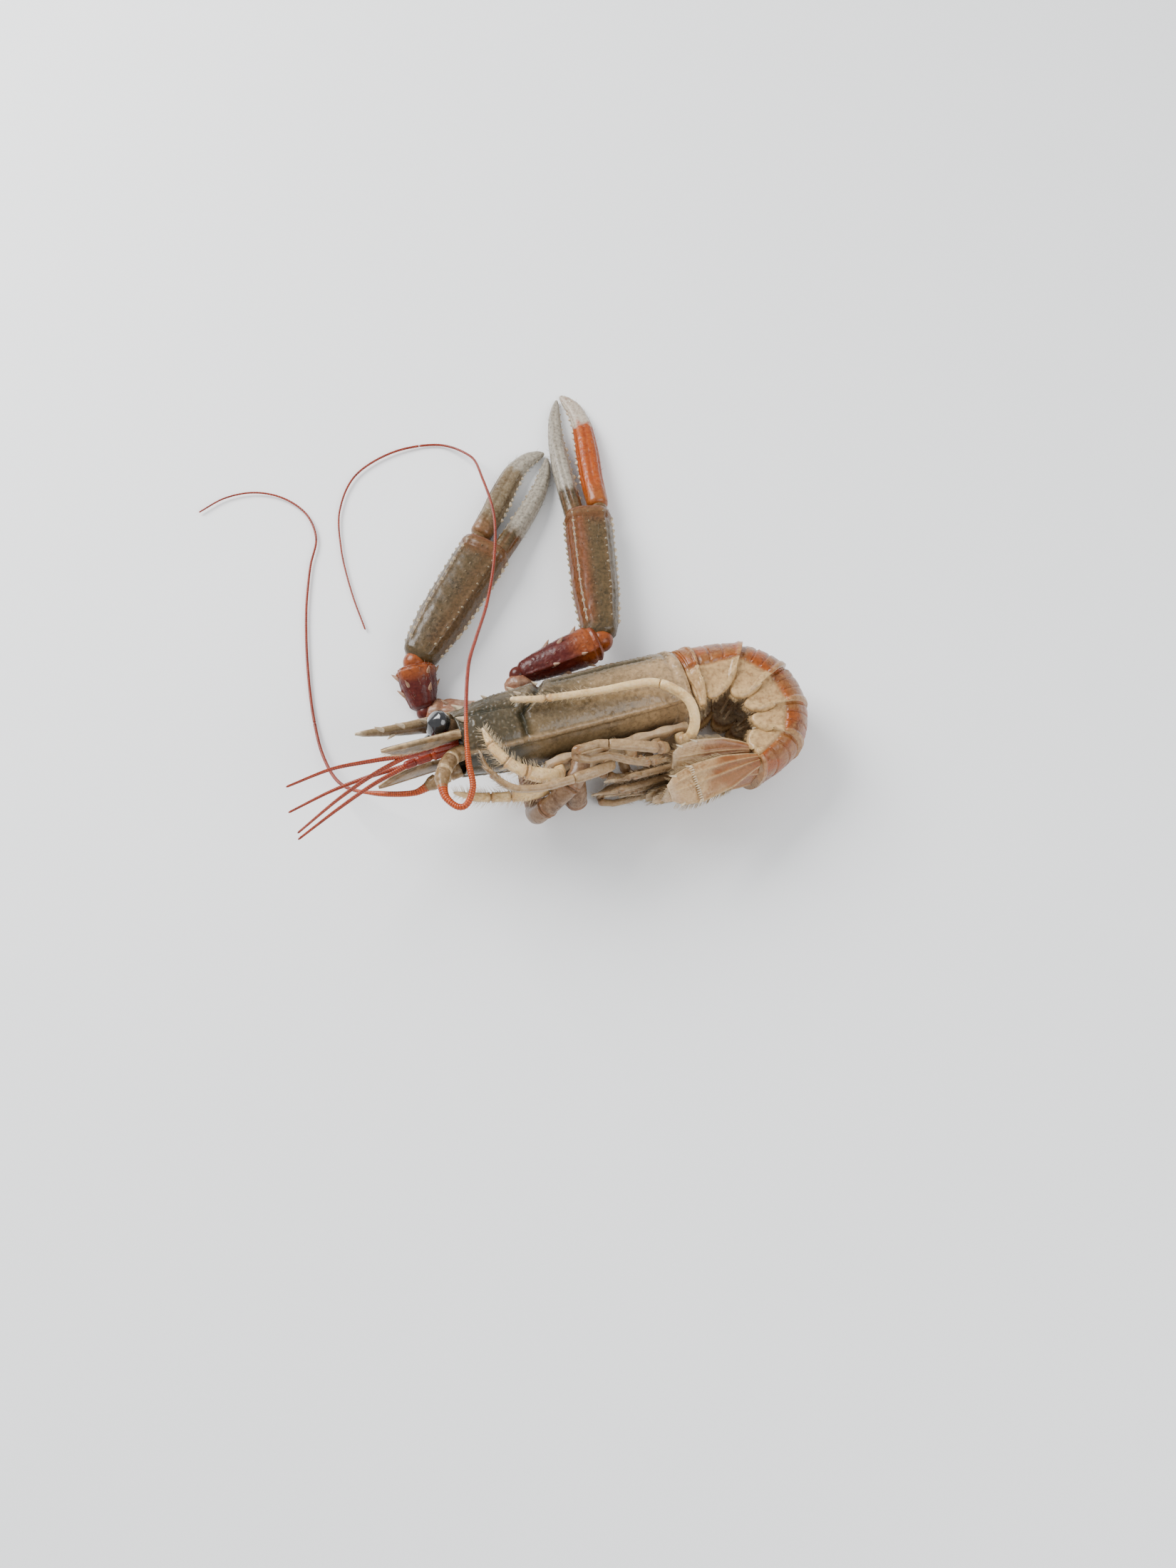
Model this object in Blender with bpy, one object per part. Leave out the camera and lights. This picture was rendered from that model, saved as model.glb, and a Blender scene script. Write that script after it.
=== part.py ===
"""A Norway lobster at life size, lying on its right side with its tail curled under.

Sizes are in millimetres until add_solid() turns them into metres. The floor is z = 0.
Two frames are used. The plan frame has X to the right and Y away from the viewer.
The body frame has s forward along the animal, l to its left and d to its back;
body() turns (s, l, d) into a plan point.
"""
import math
import random

import bmesh
import bpy
from mathutils import Vector

MM = 0.001
GAP = 0.3

# Where the animal lies
BODY_ORIGIN = Vector((-5.9, 8.5, 17.2))
BODY_HEADING = math.radians(199.4)
BODY_PITCH = math.radians(10.1)
PLAN_CENTRE = Vector((-23.008, 40.819, 0.0))

# Carapace
CARAPACE_REAR = -27.0
CARAPACE_FRONT = 23.0
CARAPACE_HALF_WIDTH = 9.7
CARAPACE_BACK = 8.6
CARAPACE_BELLY = -9.0
CERVICAL_GROOVE = 3.0
GROOVE_DEPTH = 0.9
ROSTRUM_TIP = 43.0
ROSTRUM_HALF_WIDTH = 2.9

# Thorax underside, which carries the legs
STERNUM_TOP = CARAPACE_BELLY - GAP
STERNUM_BOTTOM = -11.2
STERNUM_HALF_WIDTH = 5.4
LEG_ROOT = STERNUM_BOTTOM - GAP
LEG_LEAD = 0.9

# Tail curl: each row is a joint between two segments, with its outer end on the
# back, its inner end between the side plates, and the half width of the tail there
CURL_CENTRE = (-37.5, -9.3)
CURL_RADIUS = 16.2
TAIL_JOINTS = (
    ((CARAPACE_REAR - GAP, 8.2), (-27.6, -8.2), 9.7),
    ((-30.6, 8.0), (-29.0, -7.6), 10.2),
    (22.0, (-34.8, -6.0), 10.4),
    (63.0, (-37.3, -9.3), 10.2),
    (100.0, (-38.6, -12.4), 9.7),
    (137.0, (-38.0, -15.6), 8.9),
    (180.0, (-35.4, -18.4), 7.6),
)
BELLY_SHARE = 0.60
PLEURON_SHARE = 0.74
PLEURON_THICKNESS = 1.0

LEFT = 1
RIGHT = -1
SIDE_NAMES = {LEFT: "left", RIGHT: "right"}

SHELL = (0.50, 0.40, 0.27)
PALE_SHELL = (0.72, 0.60, 0.42)
DARK_RED = (0.28, 0.035, 0.015)
ORANGE = (0.72, 0.20, 0.04)
FEELER_RED = (0.50, 0.06, 0.03)
CREAM = (0.80, 0.70, 0.50)
BLACK = (0.01, 0.01, 0.012)


def clear_scene():
    """Remove whatever the new file holds."""
    for item in list(bpy.data.objects):
        bpy.data.objects.remove(item, do_unlink=True)


def body_axes():
    """The forward, left and back directions of the animal as it lies."""
    heading = Vector((math.cos(BODY_HEADING), math.sin(BODY_HEADING), 0.0))
    forward = heading * math.cos(BODY_PITCH) + Vector((0, 0, 1)) * math.sin(BODY_PITCH)
    back = Vector((heading.y, -heading.x, 0.0))
    left = back.cross(forward)
    return forward, left, back


FORWARD, LEFTWARD, BACKWARD = body_axes()


def body(s, l, d):
    """A point given by its places forward, left and towards the back."""
    return BODY_ORIGIN + FORWARD * s + LEFTWARD * l + BACKWARD * d


def finish_material(name, colour, roughness=0.4):
    """One Principled material for one sub-part."""
    material = bpy.data.materials.new(name)
    material.use_nodes = True
    shader = material.node_tree.nodes["Principled BSDF"]
    shader.inputs["Base Color"].default_value = (*colour, 1.0)
    shader.inputs["Roughness"].default_value = roughness
    shader.inputs["Metallic"].default_value = 0.0
    return material


def mesh_from_rings(name, rings):
    """A closed mesh through rings of one length; the last may be a single point.

    Each end that is a full ring gets a flat cap.
    """
    mesh = bpy.data.meshes.new(name)
    work = bmesh.new()
    loops = [[work.verts.new((point - PLAN_CENTRE) * MM) for point in ring] for ring in rings]
    for first, second in zip(loops, loops[1:]):
        count = len(first)
        for i in range(count):
            j = (i + 1) % count
            if len(second) == 1:
                work.faces.new((first[i], first[j], second[0]))
            else:
                work.faces.new((first[i], first[j], second[j], second[i]))
    work.faces.new(list(reversed(loops[0])))
    if len(loops[-1]) > 1:
        work.faces.new(loops[-1])
    bmesh.ops.recalc_face_normals(work, faces=work.faces)
    work.to_mesh(mesh)
    work.free()
    mesh.shade_smooth()
    mesh.set_sharp_from_angle(angle=math.radians(50))
    return mesh


def add_solid(name, rings, colour, roughness=0.4):
    """A named object of one closed body."""
    item = bpy.data.objects.new(name, mesh_from_rings(name, rings))
    bpy.context.scene.collection.objects.link(item)
    item.data.materials.append(finish_material(name, colour, roughness))
    return item


def fuse(node, pieces):
    """Join closed pieces to a node with one union, and keep its largest surface."""
    collection = bpy.data.collections.new(node.name + "_pieces")
    bpy.context.scene.collection.children.link(collection)
    for piece in pieces:
        bpy.context.scene.collection.objects.unlink(piece)
        collection.objects.link(piece)
    union = node.modifiers.new("Union", "BOOLEAN")
    union.operation = "UNION"
    union.operand_type = "COLLECTION"
    union.collection = collection
    union.solver = "EXACT"
    bpy.context.view_layer.update()
    fused = bpy.data.meshes.new_from_object(node.evaluated_get(bpy.context.evaluated_depsgraph_get()))
    node.modifiers.remove(union)
    node.data = fused
    for piece in pieces:
        bpy.data.objects.remove(piece, do_unlink=True)
    bpy.data.collections.remove(collection)
    keep_largest(node)


def keep_largest(node):
    """Drop every closed surface of a node but the largest."""
    work = bmesh.new()
    work.from_mesh(node.data)
    unseen = set(work.verts)
    groups = []
    while unseen:
        group = {unseen.pop()}
        edge = list(group)
        while edge:
            vertex = edge.pop()
            for link in vertex.link_edges:
                other = link.other_vert(vertex)
                if other in unseen:
                    unseen.discard(other)
                    group.add(other)
                    edge.append(other)
        groups.append(group)
    largest = max(groups, key=len)
    bmesh.ops.delete(work, geom=[v for v in work.verts if v not in largest], context="VERTS")
    work.to_mesh(node.data)
    work.free()


def rest_on_floor(node):
    """Cut a node off at the floor, which leaves a small flat there."""
    work = bmesh.new()
    work.from_mesh(node.data)
    everything = work.verts[:] + work.edges[:] + work.faces[:]
    cut = bmesh.ops.bisect_plane(
        work, geom=everything, plane_co=(0, 0, 0), plane_no=(0, 0, -1), clear_outer=True)
    rim = [item for item in cut["geom_cut"] if isinstance(item, bmesh.types.BMEdge)]
    if rim:
        bmesh.ops.holes_fill(work, edges=rim)
        bmesh.ops.recalc_face_normals(work, faces=work.faces)
    work.to_mesh(node.data)
    work.free()


def profile(table, t):
    """Values at t from rows of (t, value, ...), in straight lines between rows."""
    if t <= table[0][0]:
        return table[0][1:]
    for low, high in zip(table, table[1:]):
        if t <= high[0]:
            share = (t - low[0]) / (high[0] - low[0])
            return tuple(a + (b - a) * share for a, b in zip(low[1:], high[1:]))
    return table[-1][1:]


def path_tangent(points, i):
    """The direction and pace of a smooth line at one of its points, ruled by the nearer neighbour."""
    if i == 0:
        return points[1] - points[0]
    if i == len(points) - 1:
        return points[-1] - points[-2]
    before = points[i] - points[i - 1]
    after = points[i + 1] - points[i]
    blend = before.normalized() * after.length + after.normalized() * before.length
    return blend.normalized() * min(before.length, after.length)


def smooth_path(points, steps):
    """A smooth line through points, with the given steps for each stretch."""
    line = []
    for i in range(len(points) - 1):
        start, end = points[i], points[i + 1]
        leave = path_tangent(points, i)
        arrive = path_tangent(points, i + 1)
        for k in range(steps):
            t = k / steps
            line.append(
                start * (2 * t ** 3 - 3 * t ** 2 + 1) + leave * (t ** 3 - 2 * t ** 2 + t)
                + end * (3 * t ** 2 - 2 * t ** 3) + arrive * (t ** 3 - t ** 2))
    line.append(points[-1].copy())
    return line


def line_shares(line):
    """How far along a line each of its points is, from 0 to 1."""
    lengths = [0.0]
    for a, b in zip(line, line[1:]):
        lengths.append(lengths[-1] + (b - a).length)
    return [length / lengths[-1] for length in lengths]


def oval(centre, side, up, half_width, half_height, count, power=2.0):
    """A ring that goes from an ellipse at power 2 towards a box at higher powers."""
    ring = []
    for i in range(count):
        angle = math.tau * (i + 0.5) / count
        c, s = math.cos(angle), math.sin(angle)
        x = math.copysign(abs(c) ** (2 / power), c) * half_width
        y = math.copysign(abs(s) ** (2 / power), s) * half_height
        ring.append(centre + side * x + up * y)
    return ring


def sweep_rings(line, table, flat, count, power=2.0, root_normal=None, tip_normal=None):
    """Rings along a line; flat is the direction that each ring's height follows.

    The first and the last ring lie square to root_normal and tip_normal where these are given.
    A ring that would cross the one before it, inside a tight bend, is left out.
    """
    kept = []
    shares = line_shares(line)
    side = None
    for i, (point, share) in enumerate(zip(line, shares)):
        ahead = line[min(i + 1, len(line) - 1)] - line[max(i - 1, 0)]
        ahead.normalize()
        if i == 0 and root_normal is not None:
            ahead = root_normal.normalized()
        if i == len(line) - 1 and tip_normal is not None:
            ahead = tip_normal.normalized()
        if side is None:
            side = ahead.cross(flat)
        side = (side - ahead * side.dot(ahead)).normalized()
        up = side.cross(ahead).normalized()
        half_width, half_height = profile(table, share)
        ring = oval(point, side, up, half_width, half_height, count, power)
        last = i == len(line) - 1
        while last and len(kept) > 1 and rings_cross(kept[-1], (ring, point, ahead)):
            kept.pop()
        if not kept or last or not rings_cross(kept[-1], (ring, point, ahead)):
            kept.append((ring, point, ahead))
    return [ring for ring, _, _ in kept]


def rings_cross(first, second):
    """True if either ring reaches through the other one's plane, close enough to meet it."""
    clear = 0.03
    reach = (first[0][0] - first[1]).length + (second[0][0] - second[1]).length
    if (second[1] - first[1]).length > reach:
        return False
    ahead = min((vertex - first[1]).dot(first[2]) for vertex in second[0])
    behind = min((second[1] - vertex).dot(second[2]) for vertex in first[0])
    return min(ahead, behind) < clear


def joint_plane(before, joint, after):
    """The point and normal of the plane between two lengths of a limb."""
    normal = (joint - before).normalized() + (after - joint).normalized()
    return joint, normal.normalized()


def slide_to_plane(ring, axis, plane, offset):
    """Move a ring along an axis on to a plane, kept back by an offset."""
    point, normal = plane
    target = point + normal * offset
    return [vertex + axis * ((target - vertex).dot(normal) / axis.dot(normal)) for vertex in ring]


def slant_margin(axis, plane, half_width):
    """How far from a slanted joint a full ring clears the joint's plane."""
    if plane is None:
        return 0.0
    cosine = abs(axis.dot(plane[1]))
    return half_width * math.sqrt(max(0.0, 1.0 - cosine ** 2)) / cosine + 0.3


def limb_length(name, start, end, table, flat, colour, planes, count=10, power=2.4, steps=8):
    """One straight length of a limb, between the planes of its two joints."""
    axis = (end - start).normalized()
    length = (end - start).length
    low = slant_margin(axis, planes[0], max(profile(table, 0.12))) / length
    high = 1.0 - slant_margin(axis, planes[1], max(profile(table, 0.88))) / length
    shares = [0.0] + [low + (high - low) * i / (steps - 2) for i in range(steps - 1)] + [1.0]
    line = [start.lerp(end, share) for share in shares if 0.0 < share < 1.0]
    line = [start.copy(), *line, end.copy()]
    rings = sweep_rings(line, table, flat, count, power)
    if planes[0]:
        rings[0] = slide_to_plane(rings[0], axis, planes[0], GAP / 2)
    if planes[1]:
        rings[-1] = slide_to_plane(rings[-1], axis, planes[1], -GAP / 2)
    return add_solid(name, rings, colour)


# Spines, teeth and tubercles: length and radius at the foot of each size
SPINE_SIZES = {"small": (0.9, 0.45), "medium": (1.4, 0.6), "large": (2.1, 0.8), "long": (3.0, 0.85)}
TUBERCLE_SIZES = {"fine": (0.45, 0.5), "plain": (0.6, 0.7), "broad": (0.75, 0.9)}
TUBERCLE_TOP = 0.5
SPIKE_DEPTH = 0.6


def add_spike(root, direction, length, radius, top=0.0, sides=4):
    """A closed spine with its foot sunk in its carrier; top is the share of its width kept at its end."""
    direction = direction.normalized()
    across = direction.orthogonal().normalized()
    other = direction.cross(across)
    foot = root - direction * SPIKE_DEPTH
    tip = root + direction * length
    rings = [oval(foot, across, other, radius, radius, sides)]
    if top:
        rings.append(oval(tip, across, other, radius * top, radius * top, sides))
    else:
        rings.append([tip])
    return add_solid("spike", rings, CREAM)


def varied(size, draw):
    """A spine or tubercle size, a little larger or smaller as real ones are."""
    factor = draw.uniform(0.82, 1.15)
    return size[0] * factor, size[1] * factor


def limb_surface(start, end, table, flat, share, degrees, power=2.4):
    """A point on a straight length of limb and the way out of it there."""
    axis = (end - start).normalized()
    side = axis.cross(flat).normalized()
    up = side.cross(axis).normalized()
    half_width, half_height = profile(table, share)
    angle = math.radians(degrees)
    c, s = math.cos(angle), math.sin(angle)
    x = math.copysign(abs(c) ** (2 / power), c) * half_width
    y = math.copysign(abs(s) ** (2 / power), s) * half_height
    out = (side * (c / half_width) + up * (s / half_height)).normalized()
    return start.lerp(end, share) + side * x + up * y, out


def limb_spines(start, end, table, rows, draw):
    """Spines on a straight length of limb, leaning forward; rows are (degrees, size name, shares)."""
    axis = (end - start).normalized()
    up = Vector((0, 0, 1))
    spines = []
    for degrees, size, shares in rows:
        for share in shares:
            root, out = limb_surface(start, end, table, up, share, degrees)
            length, radius = varied(SPINE_SIZES[size], draw)
            spines.append(add_spike(root - out * 0.15, out + axis * 0.7, length, radius))
    return spines


# Carapace and thorax

CARAPACE_TABLE = (
    (0.00, 0.93, 0.94, 0.90),
    (0.06, 0.97, 0.98, 0.96),
    (0.30, 1.00, 1.00, 1.00),
    (0.60, 0.98, 1.00, 1.00),
    (0.80, 0.88, 0.95, 0.95),
    (0.93, 0.78, 0.86, 0.88),
    (1.00, 0.70, 0.78, 0.80),
)
CARAPACE_POWER = 2.35


def carapace_point(share, angle):
    """The shell's surface: share runs from rear to front, angle from the left round the back."""
    width, back, belly = profile(CARAPACE_TABLE, share)
    c, s = math.cos(angle), math.sin(angle)
    x = math.copysign(abs(c) ** (2 / CARAPACE_POWER), c) * CARAPACE_HALF_WIDTH * width
    if s >= 0:
        y = abs(s) ** (2 / 2.1) * CARAPACE_BACK * back
    else:
        y = -abs(s) ** (2 / 3.2) * abs(CARAPACE_BELLY) * belly
        x *= 1.0 - 0.22 * abs(s) ** 2
    station = CARAPACE_REAR + share * (CARAPACE_FRONT - CARAPACE_REAR)
    groove_at = CERVICAL_GROOVE + 7.0 * (1 - max(s, 0.0)) ** 1.5
    dip = GROOVE_DEPTH * math.exp(-((station - groove_at) / 1.3) ** 2) if s > -0.6 else 0.0
    keel = 0.45 * math.exp(-((angle - math.pi / 2) / 0.12) ** 2)
    shrink = 1.0 - dip / CARAPACE_HALF_WIDTH
    return body(station, x * shrink, y * shrink + keel)


ROSTRUM_START = CARAPACE_FRONT - 6.0
ROSTRUM_TABLE = (
    (0.0, ROSTRUM_HALF_WIDTH, 1.5),
    (0.3, ROSTRUM_HALF_WIDTH, 1.4),
    (0.6, 1.9, 1.2),
    (0.95, 0.7, 0.6),
    (1.0, 0.2, 0.2),
)
ROSTRUM_TEETH = (0.44, 0.62, 0.79)

# Station, degrees from the side towards the back, size name and forward lean
CARAPACE_SPINES = (
    (21.0, 62, "large", 1.2),
    (15.0, 66, "medium", 1.0),
    (9.0, 70, "medium", 1.0),
    (3.5, 74, "small", 1.0),
    (21.6, 20, "large", 1.6),
    (9.0, 34, "medium", 1.2),
    (21.0, -32, "small", 1.4),
)


def rostrum_point(share):
    """The middle of the beak, which turns up a little towards its tip."""
    return body(ROSTRUM_START + (ROSTRUM_TIP - ROSTRUM_START) * share, 0, 5.6 + 2.4 * share ** 2)


def rostrum():
    """The beak, a flat blade with three teeth on each side and one below."""
    steps = 9
    line = [rostrum_point(i / steps) for i in range(steps + 1)]
    pieces = [add_solid("rostrum_piece", sweep_rings(line, ROSTRUM_TABLE, BACKWARD, 6, 2.2), SHELL)]
    for share in ROSTRUM_TEETH:
        half_width, _ = profile(ROSTRUM_TABLE, share)
        for side in (LEFT, RIGHT):
            root = rostrum_point(share) + LEFTWARD * (side * (half_width - 0.3))
            direction = LEFTWARD * (side * 0.75) + FORWARD * 1.0 + BACKWARD * 0.25
            pieces.append(add_spike(root, direction, 1.9, 0.65))
    pieces.append(add_spike(rostrum_point(0.7) - BACKWARD * 0.7, FORWARD - BACKWARD * 0.7, 1.5, 0.5))
    return pieces


def carapace_spines():
    """The two rows behind the beak, and the spines at the front edge and in front of the groove."""
    pieces = []
    for side in (LEFT, RIGHT):
        for station, degrees, size, lean in CARAPACE_SPINES:
            share = (station - CARAPACE_REAR) / (CARAPACE_FRONT - CARAPACE_REAR)
            angle = math.radians(degrees if side == LEFT else 180 - degrees)
            root = carapace_point(share, angle)
            out = (root - body(station, 0, 0)).normalized()
            length, radius = SPINE_SIZES[size]
            pieces.append(add_spike(root - out * 0.2, out + FORWARD * lean, length, radius))
    return pieces


def make_carapace():
    """The shell over head and thorax, with its beak."""
    stations, around = 20, 24
    rings = []
    for i in range(stations + 1):
        share = i / stations
        rings.append([carapace_point(share, math.tau * j / around) for j in range(around)])
    node = add_solid("carapace", rings, SHELL)
    fuse(node, [*rostrum(), *carapace_spines()])
    return node


def make_sternum():
    """The narrow plate under the thorax that the legs grow from."""
    rings = []
    middle = (STERNUM_TOP + STERNUM_BOTTOM) / 2
    half_height = (STERNUM_TOP - STERNUM_BOTTOM) / 2
    for s, width in ((-25.0, 0.75), (-24.0, 1.0), (-12.0, 0.95), (2.0, 0.9), (6.0, 0.8), (7.2, 0.6)):
        centre = body(s, 0, middle)
        rings.append(oval(centre, LEFTWARD, BACKWARD, STERNUM_HALF_WIDTH * width, half_height, 8, 5.0))
    return add_solid("thorax_underside", rings, CREAM)


# Head

EYE_TABLE = (
    (0.0, 1.5, 1.4),
    (0.25, 1.5, 1.4),
    (0.4, 2.5, 2.0),
    (0.62, 3.3, 2.7),
    (0.8, 3.0, 2.4),
    (0.93, 1.9, 1.5),
    (1.0, 0.8, 0.6),
)
STEM_TABLE = ((0.0, 1.1, 1.1), (0.45, 1.3, 1.2), (0.5, 1.0, 1.0), (0.55, 1.15, 1.05), (1.0, 0.9, 0.9))
LASH_TABLE = ((0.0, 0.55, 0.55), (0.5, 0.42, 0.42), (1.0, 0.25, 0.25))

# Share of the length, half widths towards the middle and the outside, and half thickness
SCALE_TABLE = (
    (0.0, 1.2, 1.2, 0.9),
    (0.1, 2.2, 1.9, 0.7),
    (0.35, 3.4, 2.2, 0.6),
    (0.65, 3.2, 2.2, 0.6),
    (0.85, 1.6, 2.1, 0.5),
    (0.93, 0.0, 1.9, 0.4),
    (1.0, -1.1, 1.6, 0.25),
)
SCALE_LENGTH = 17.0


def make_eye(side):
    """A short stalk with the large kidney-shaped eye on its end."""
    line = [body(CARAPACE_FRONT + GAP + 0.8 * i, side * (3.4 + 0.42 * i), 3.0 + 0.12 * i) for i in range(8)]
    rings = sweep_rings(line, EYE_TABLE, BACKWARD, 12, 2.0, FORWARD)
    return add_solid("eye_" + SIDE_NAMES[side], rings, BLACK, 0.15)


def make_antennule(side):
    """The small feeler: a jointed stem with two thin lashes."""
    root = body(CARAPACE_FRONT + GAP, side * 1.7, 0.2)
    elbow = body(CARAPACE_FRONT + 6, side * 2.1, 0.0)
    stem_end = body(CARAPACE_FRONT + 12, side * 2.6, -0.6)
    rings = sweep_rings(smooth_path([root, elbow, stem_end], 4), STEM_TABLE, BACKWARD, 8)
    stem = add_solid("antennule_" + SIDE_NAMES[side], rings, PALE_SHELL)
    lashes = []
    for name, spread, drop in (("outer", 1.0, -1.0), ("inner", -0.25, 1.4)):
        points = [
            body(CARAPACE_FRONT + 11, side * 2.6, -0.6),
            body(CARAPACE_FRONT + 19, side * (2.9 + spread), -1.4 - drop),
            body(CARAPACE_FRONT + 27, side * (3.2 + 2.4 * spread), -2.9 - 2.2 * drop),
            body(CARAPACE_FRONT + 37, side * (2.8 + 4 * spread), -6.0 - 3.4 * drop),
        ]
        rings = sweep_rings(smooth_path(points, 4), LASH_TABLE, BACKWARD, 5)
        lashes.append(add_solid("lash_" + name, rings, FEELER_RED))
    fuse(stem, lashes)
    return stem


def make_scale(side):
    """The blade beside the large feeler, with a spine at its outer tip."""
    rings = []
    for share, inner, outer, thick in SCALE_TABLE:
        s = CARAPACE_FRONT + GAP + SCALE_LENGTH * share
        middle = side * (6.6 + 1.2 * share + (outer - inner) / 2)
        centre = body(s, middle, -0.5 - 0.6 * share)
        rings.append(oval(centre, LEFTWARD, BACKWARD, (inner + outer) / 2, thick, 8, 2.0))
    return add_solid("antennal_scale_" + SIDE_NAMES[side], rings, PALE_SHELL)


FEELER_ROUTES = {
    LEFT: (
        body(23.3, 4.4, -3.6), body(25.0, 4.6, -3.9), body(27.6, 6.6, -6.0), body(30.2, 8.2, -10.0),
        body(30.6, 9.0, -14.4), body(28.2, 9.8, -17.2), body(25.4, 10.8, -14.4), body(24.6, 11.5, -9.0),
        body(23.2, 11.9, -2.9), body(21.0, 11.5, 4.0), Vector((-25.0, 17.5, 27.0)),
        Vector((-24.0, 26.0, 22.0)), Vector((-22.6, 38.0, 14.5)), Vector((-21.5, 50.0, 12.2)),
        Vector((-21.8, 62.0, 11.0)), Vector((-25.0, 74.0, 8.4)), Vector((-28.8, 84.0, 3.0)),
        Vector((-36.0, 88.5, 0.8)), Vector((-47.6, 86.6, 0.8)), Vector((-57.0, 79.5, 0.8)),
        Vector((-60.0, 70.0, 0.8)), Vector((-58.9, 59.0, 0.8)), Vector((-55.5, 47.0, 0.8)),
        Vector((-52.0, 38.0, 0.8))),
    RIGHT: (
        body(23.3, -4.4, -3.6), body(25.0, -4.6, -3.8), body(28.5, -6.0, -4.2), body(33.0, -7.6, -5.0),
        Vector((-45.5, -6.5, 12.0)), Vector((-54.0, -2.5, 6.5)), Vector((-59.5, 6.0, 2.0)),
        Vector((-62.6, 16.0, 0.8)), Vector((-65.0, 30.0, 0.8)), Vector((-66.2, 44.0, 0.8)),
        Vector((-66.0, 55.0, 0.8)), Vector((-65.2, 62.5, 0.8)), Vector((-68.0, 69.0, 0.8)),
        Vector((-74.0, 73.5, 0.8)), Vector((-81.0, 75.0, 0.8)), Vector((-88.0, 73.5, 0.8)),
        Vector((-94.0, 69.5, 0.8))),
}

# The lash is stout where it crosses the head, and thin after that
FEELER_TABLE = (
    (0.0, 1.7),
    (0.05, 1.6),
    (0.06, 1.0),
    (0.08, 0.68),
    (0.145, 0.62),
    (0.17, 0.42),
    (0.38, 0.36),
    (0.7, 0.29),
    (1.0, 0.2),
)
FEELER_PARTS = (
    ("antenna_base", 0.0, 0.06),
    ("feeler_near", 0.06, 0.38),
    ("feeler_middle", 0.38, 0.70),
    ("feeler_far", 0.70, 1.0),
)
FEELER_ROWS = 16


def make_feeler(side):
    """The large feeler from its stout base to its tip, in four lengths."""
    line = smooth_path(list(FEELER_ROUTES[side]), 3)
    shares = line_shares(line)
    total = sum((b - a).length for a, b in zip(line, line[1:]))
    half_gap = GAP / 2 / total
    for name, low, high in FEELER_PARTS:
        root_normal = FORWARD if low == 0 else cut_normal(line, shares, low)
        tip_normal = None if high == 1 else cut_normal(line, shares, high)
        low_cut = low + half_gap if low > 0 else 0.0
        high_cut = high - half_gap if high < 1 else 1.0
        inside = [point for point, share in zip(line, shares) if low_cut + 0.004 < share < high_cut - 0.004]
        piece = [point_at(line, shares, low_cut), *inside, point_at(line, shares, high_cut)]
        table = []
        for i in range(FEELER_ROWS + 1):
            share = low_cut + (high_cut - low_cut) * i / FEELER_ROWS
            radius = profile(FEELER_TABLE, share)[0]
            table.append((i / FEELER_ROWS, radius, radius))
        colour = PALE_SHELL if name == "antenna_base" else FEELER_RED
        rings = sweep_rings(piece, table, BACKWARD, 5, 2.0, root_normal, tip_normal)
        add_solid(name + "_" + SIDE_NAMES[side], rings, colour)


def cut_normal(line, shares, share):
    """The direction of a line at a cut, the same for the lengths on both sides of it."""
    reach = 0.01
    ahead = point_at(line, shares, min(share + reach, 1.0))
    behind = point_at(line, shares, max(share - reach, 0.0))
    return ahead - behind


def point_at(line, shares, share):
    """The point of a line at a share of its length."""
    for i in range(len(line) - 1):
        if shares[i + 1] >= share:
            part = (share - shares[i]) / (shares[i + 1] - shares[i])
            return line[i].lerp(line[i + 1], part)
    return line[-1].copy()


# Limbs

MOUTH_LIMB_ROUTES = {
    LEFT: (body(4.9, 2.9, LEG_ROOT), body(5.2, 3.8, -13.2), body(7.2, 6.0, -14.2), body(12.0, 8.2, -13.6),
           body(16.6, 9.8, -10.4), body(18.8, 10.6, -6.2), body(19.4, 10.4, -1.9)),
    RIGHT: (body(4.9, -2.9, LEG_ROOT), body(5.4, -3.0, -12.9), body(8.0, -3.4, -13.6),
            body(15.0, -4.2, -12.6), body(22.5, -4.6, -10.4), body(26.5, -4.2, -8.4)),
}
MOUTH_LIMB_TABLE = (
    (0.0, 1.1, 1.1),
    (0.12, 1.15, 1.2),
    (0.35, 1.4, 1.6),
    (0.55, 1.1, 1.2),
    (0.8, 1.0, 1.1),
    (0.95, 0.5, 0.5),
    (1.0, 0.25, 0.25),
)

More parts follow.
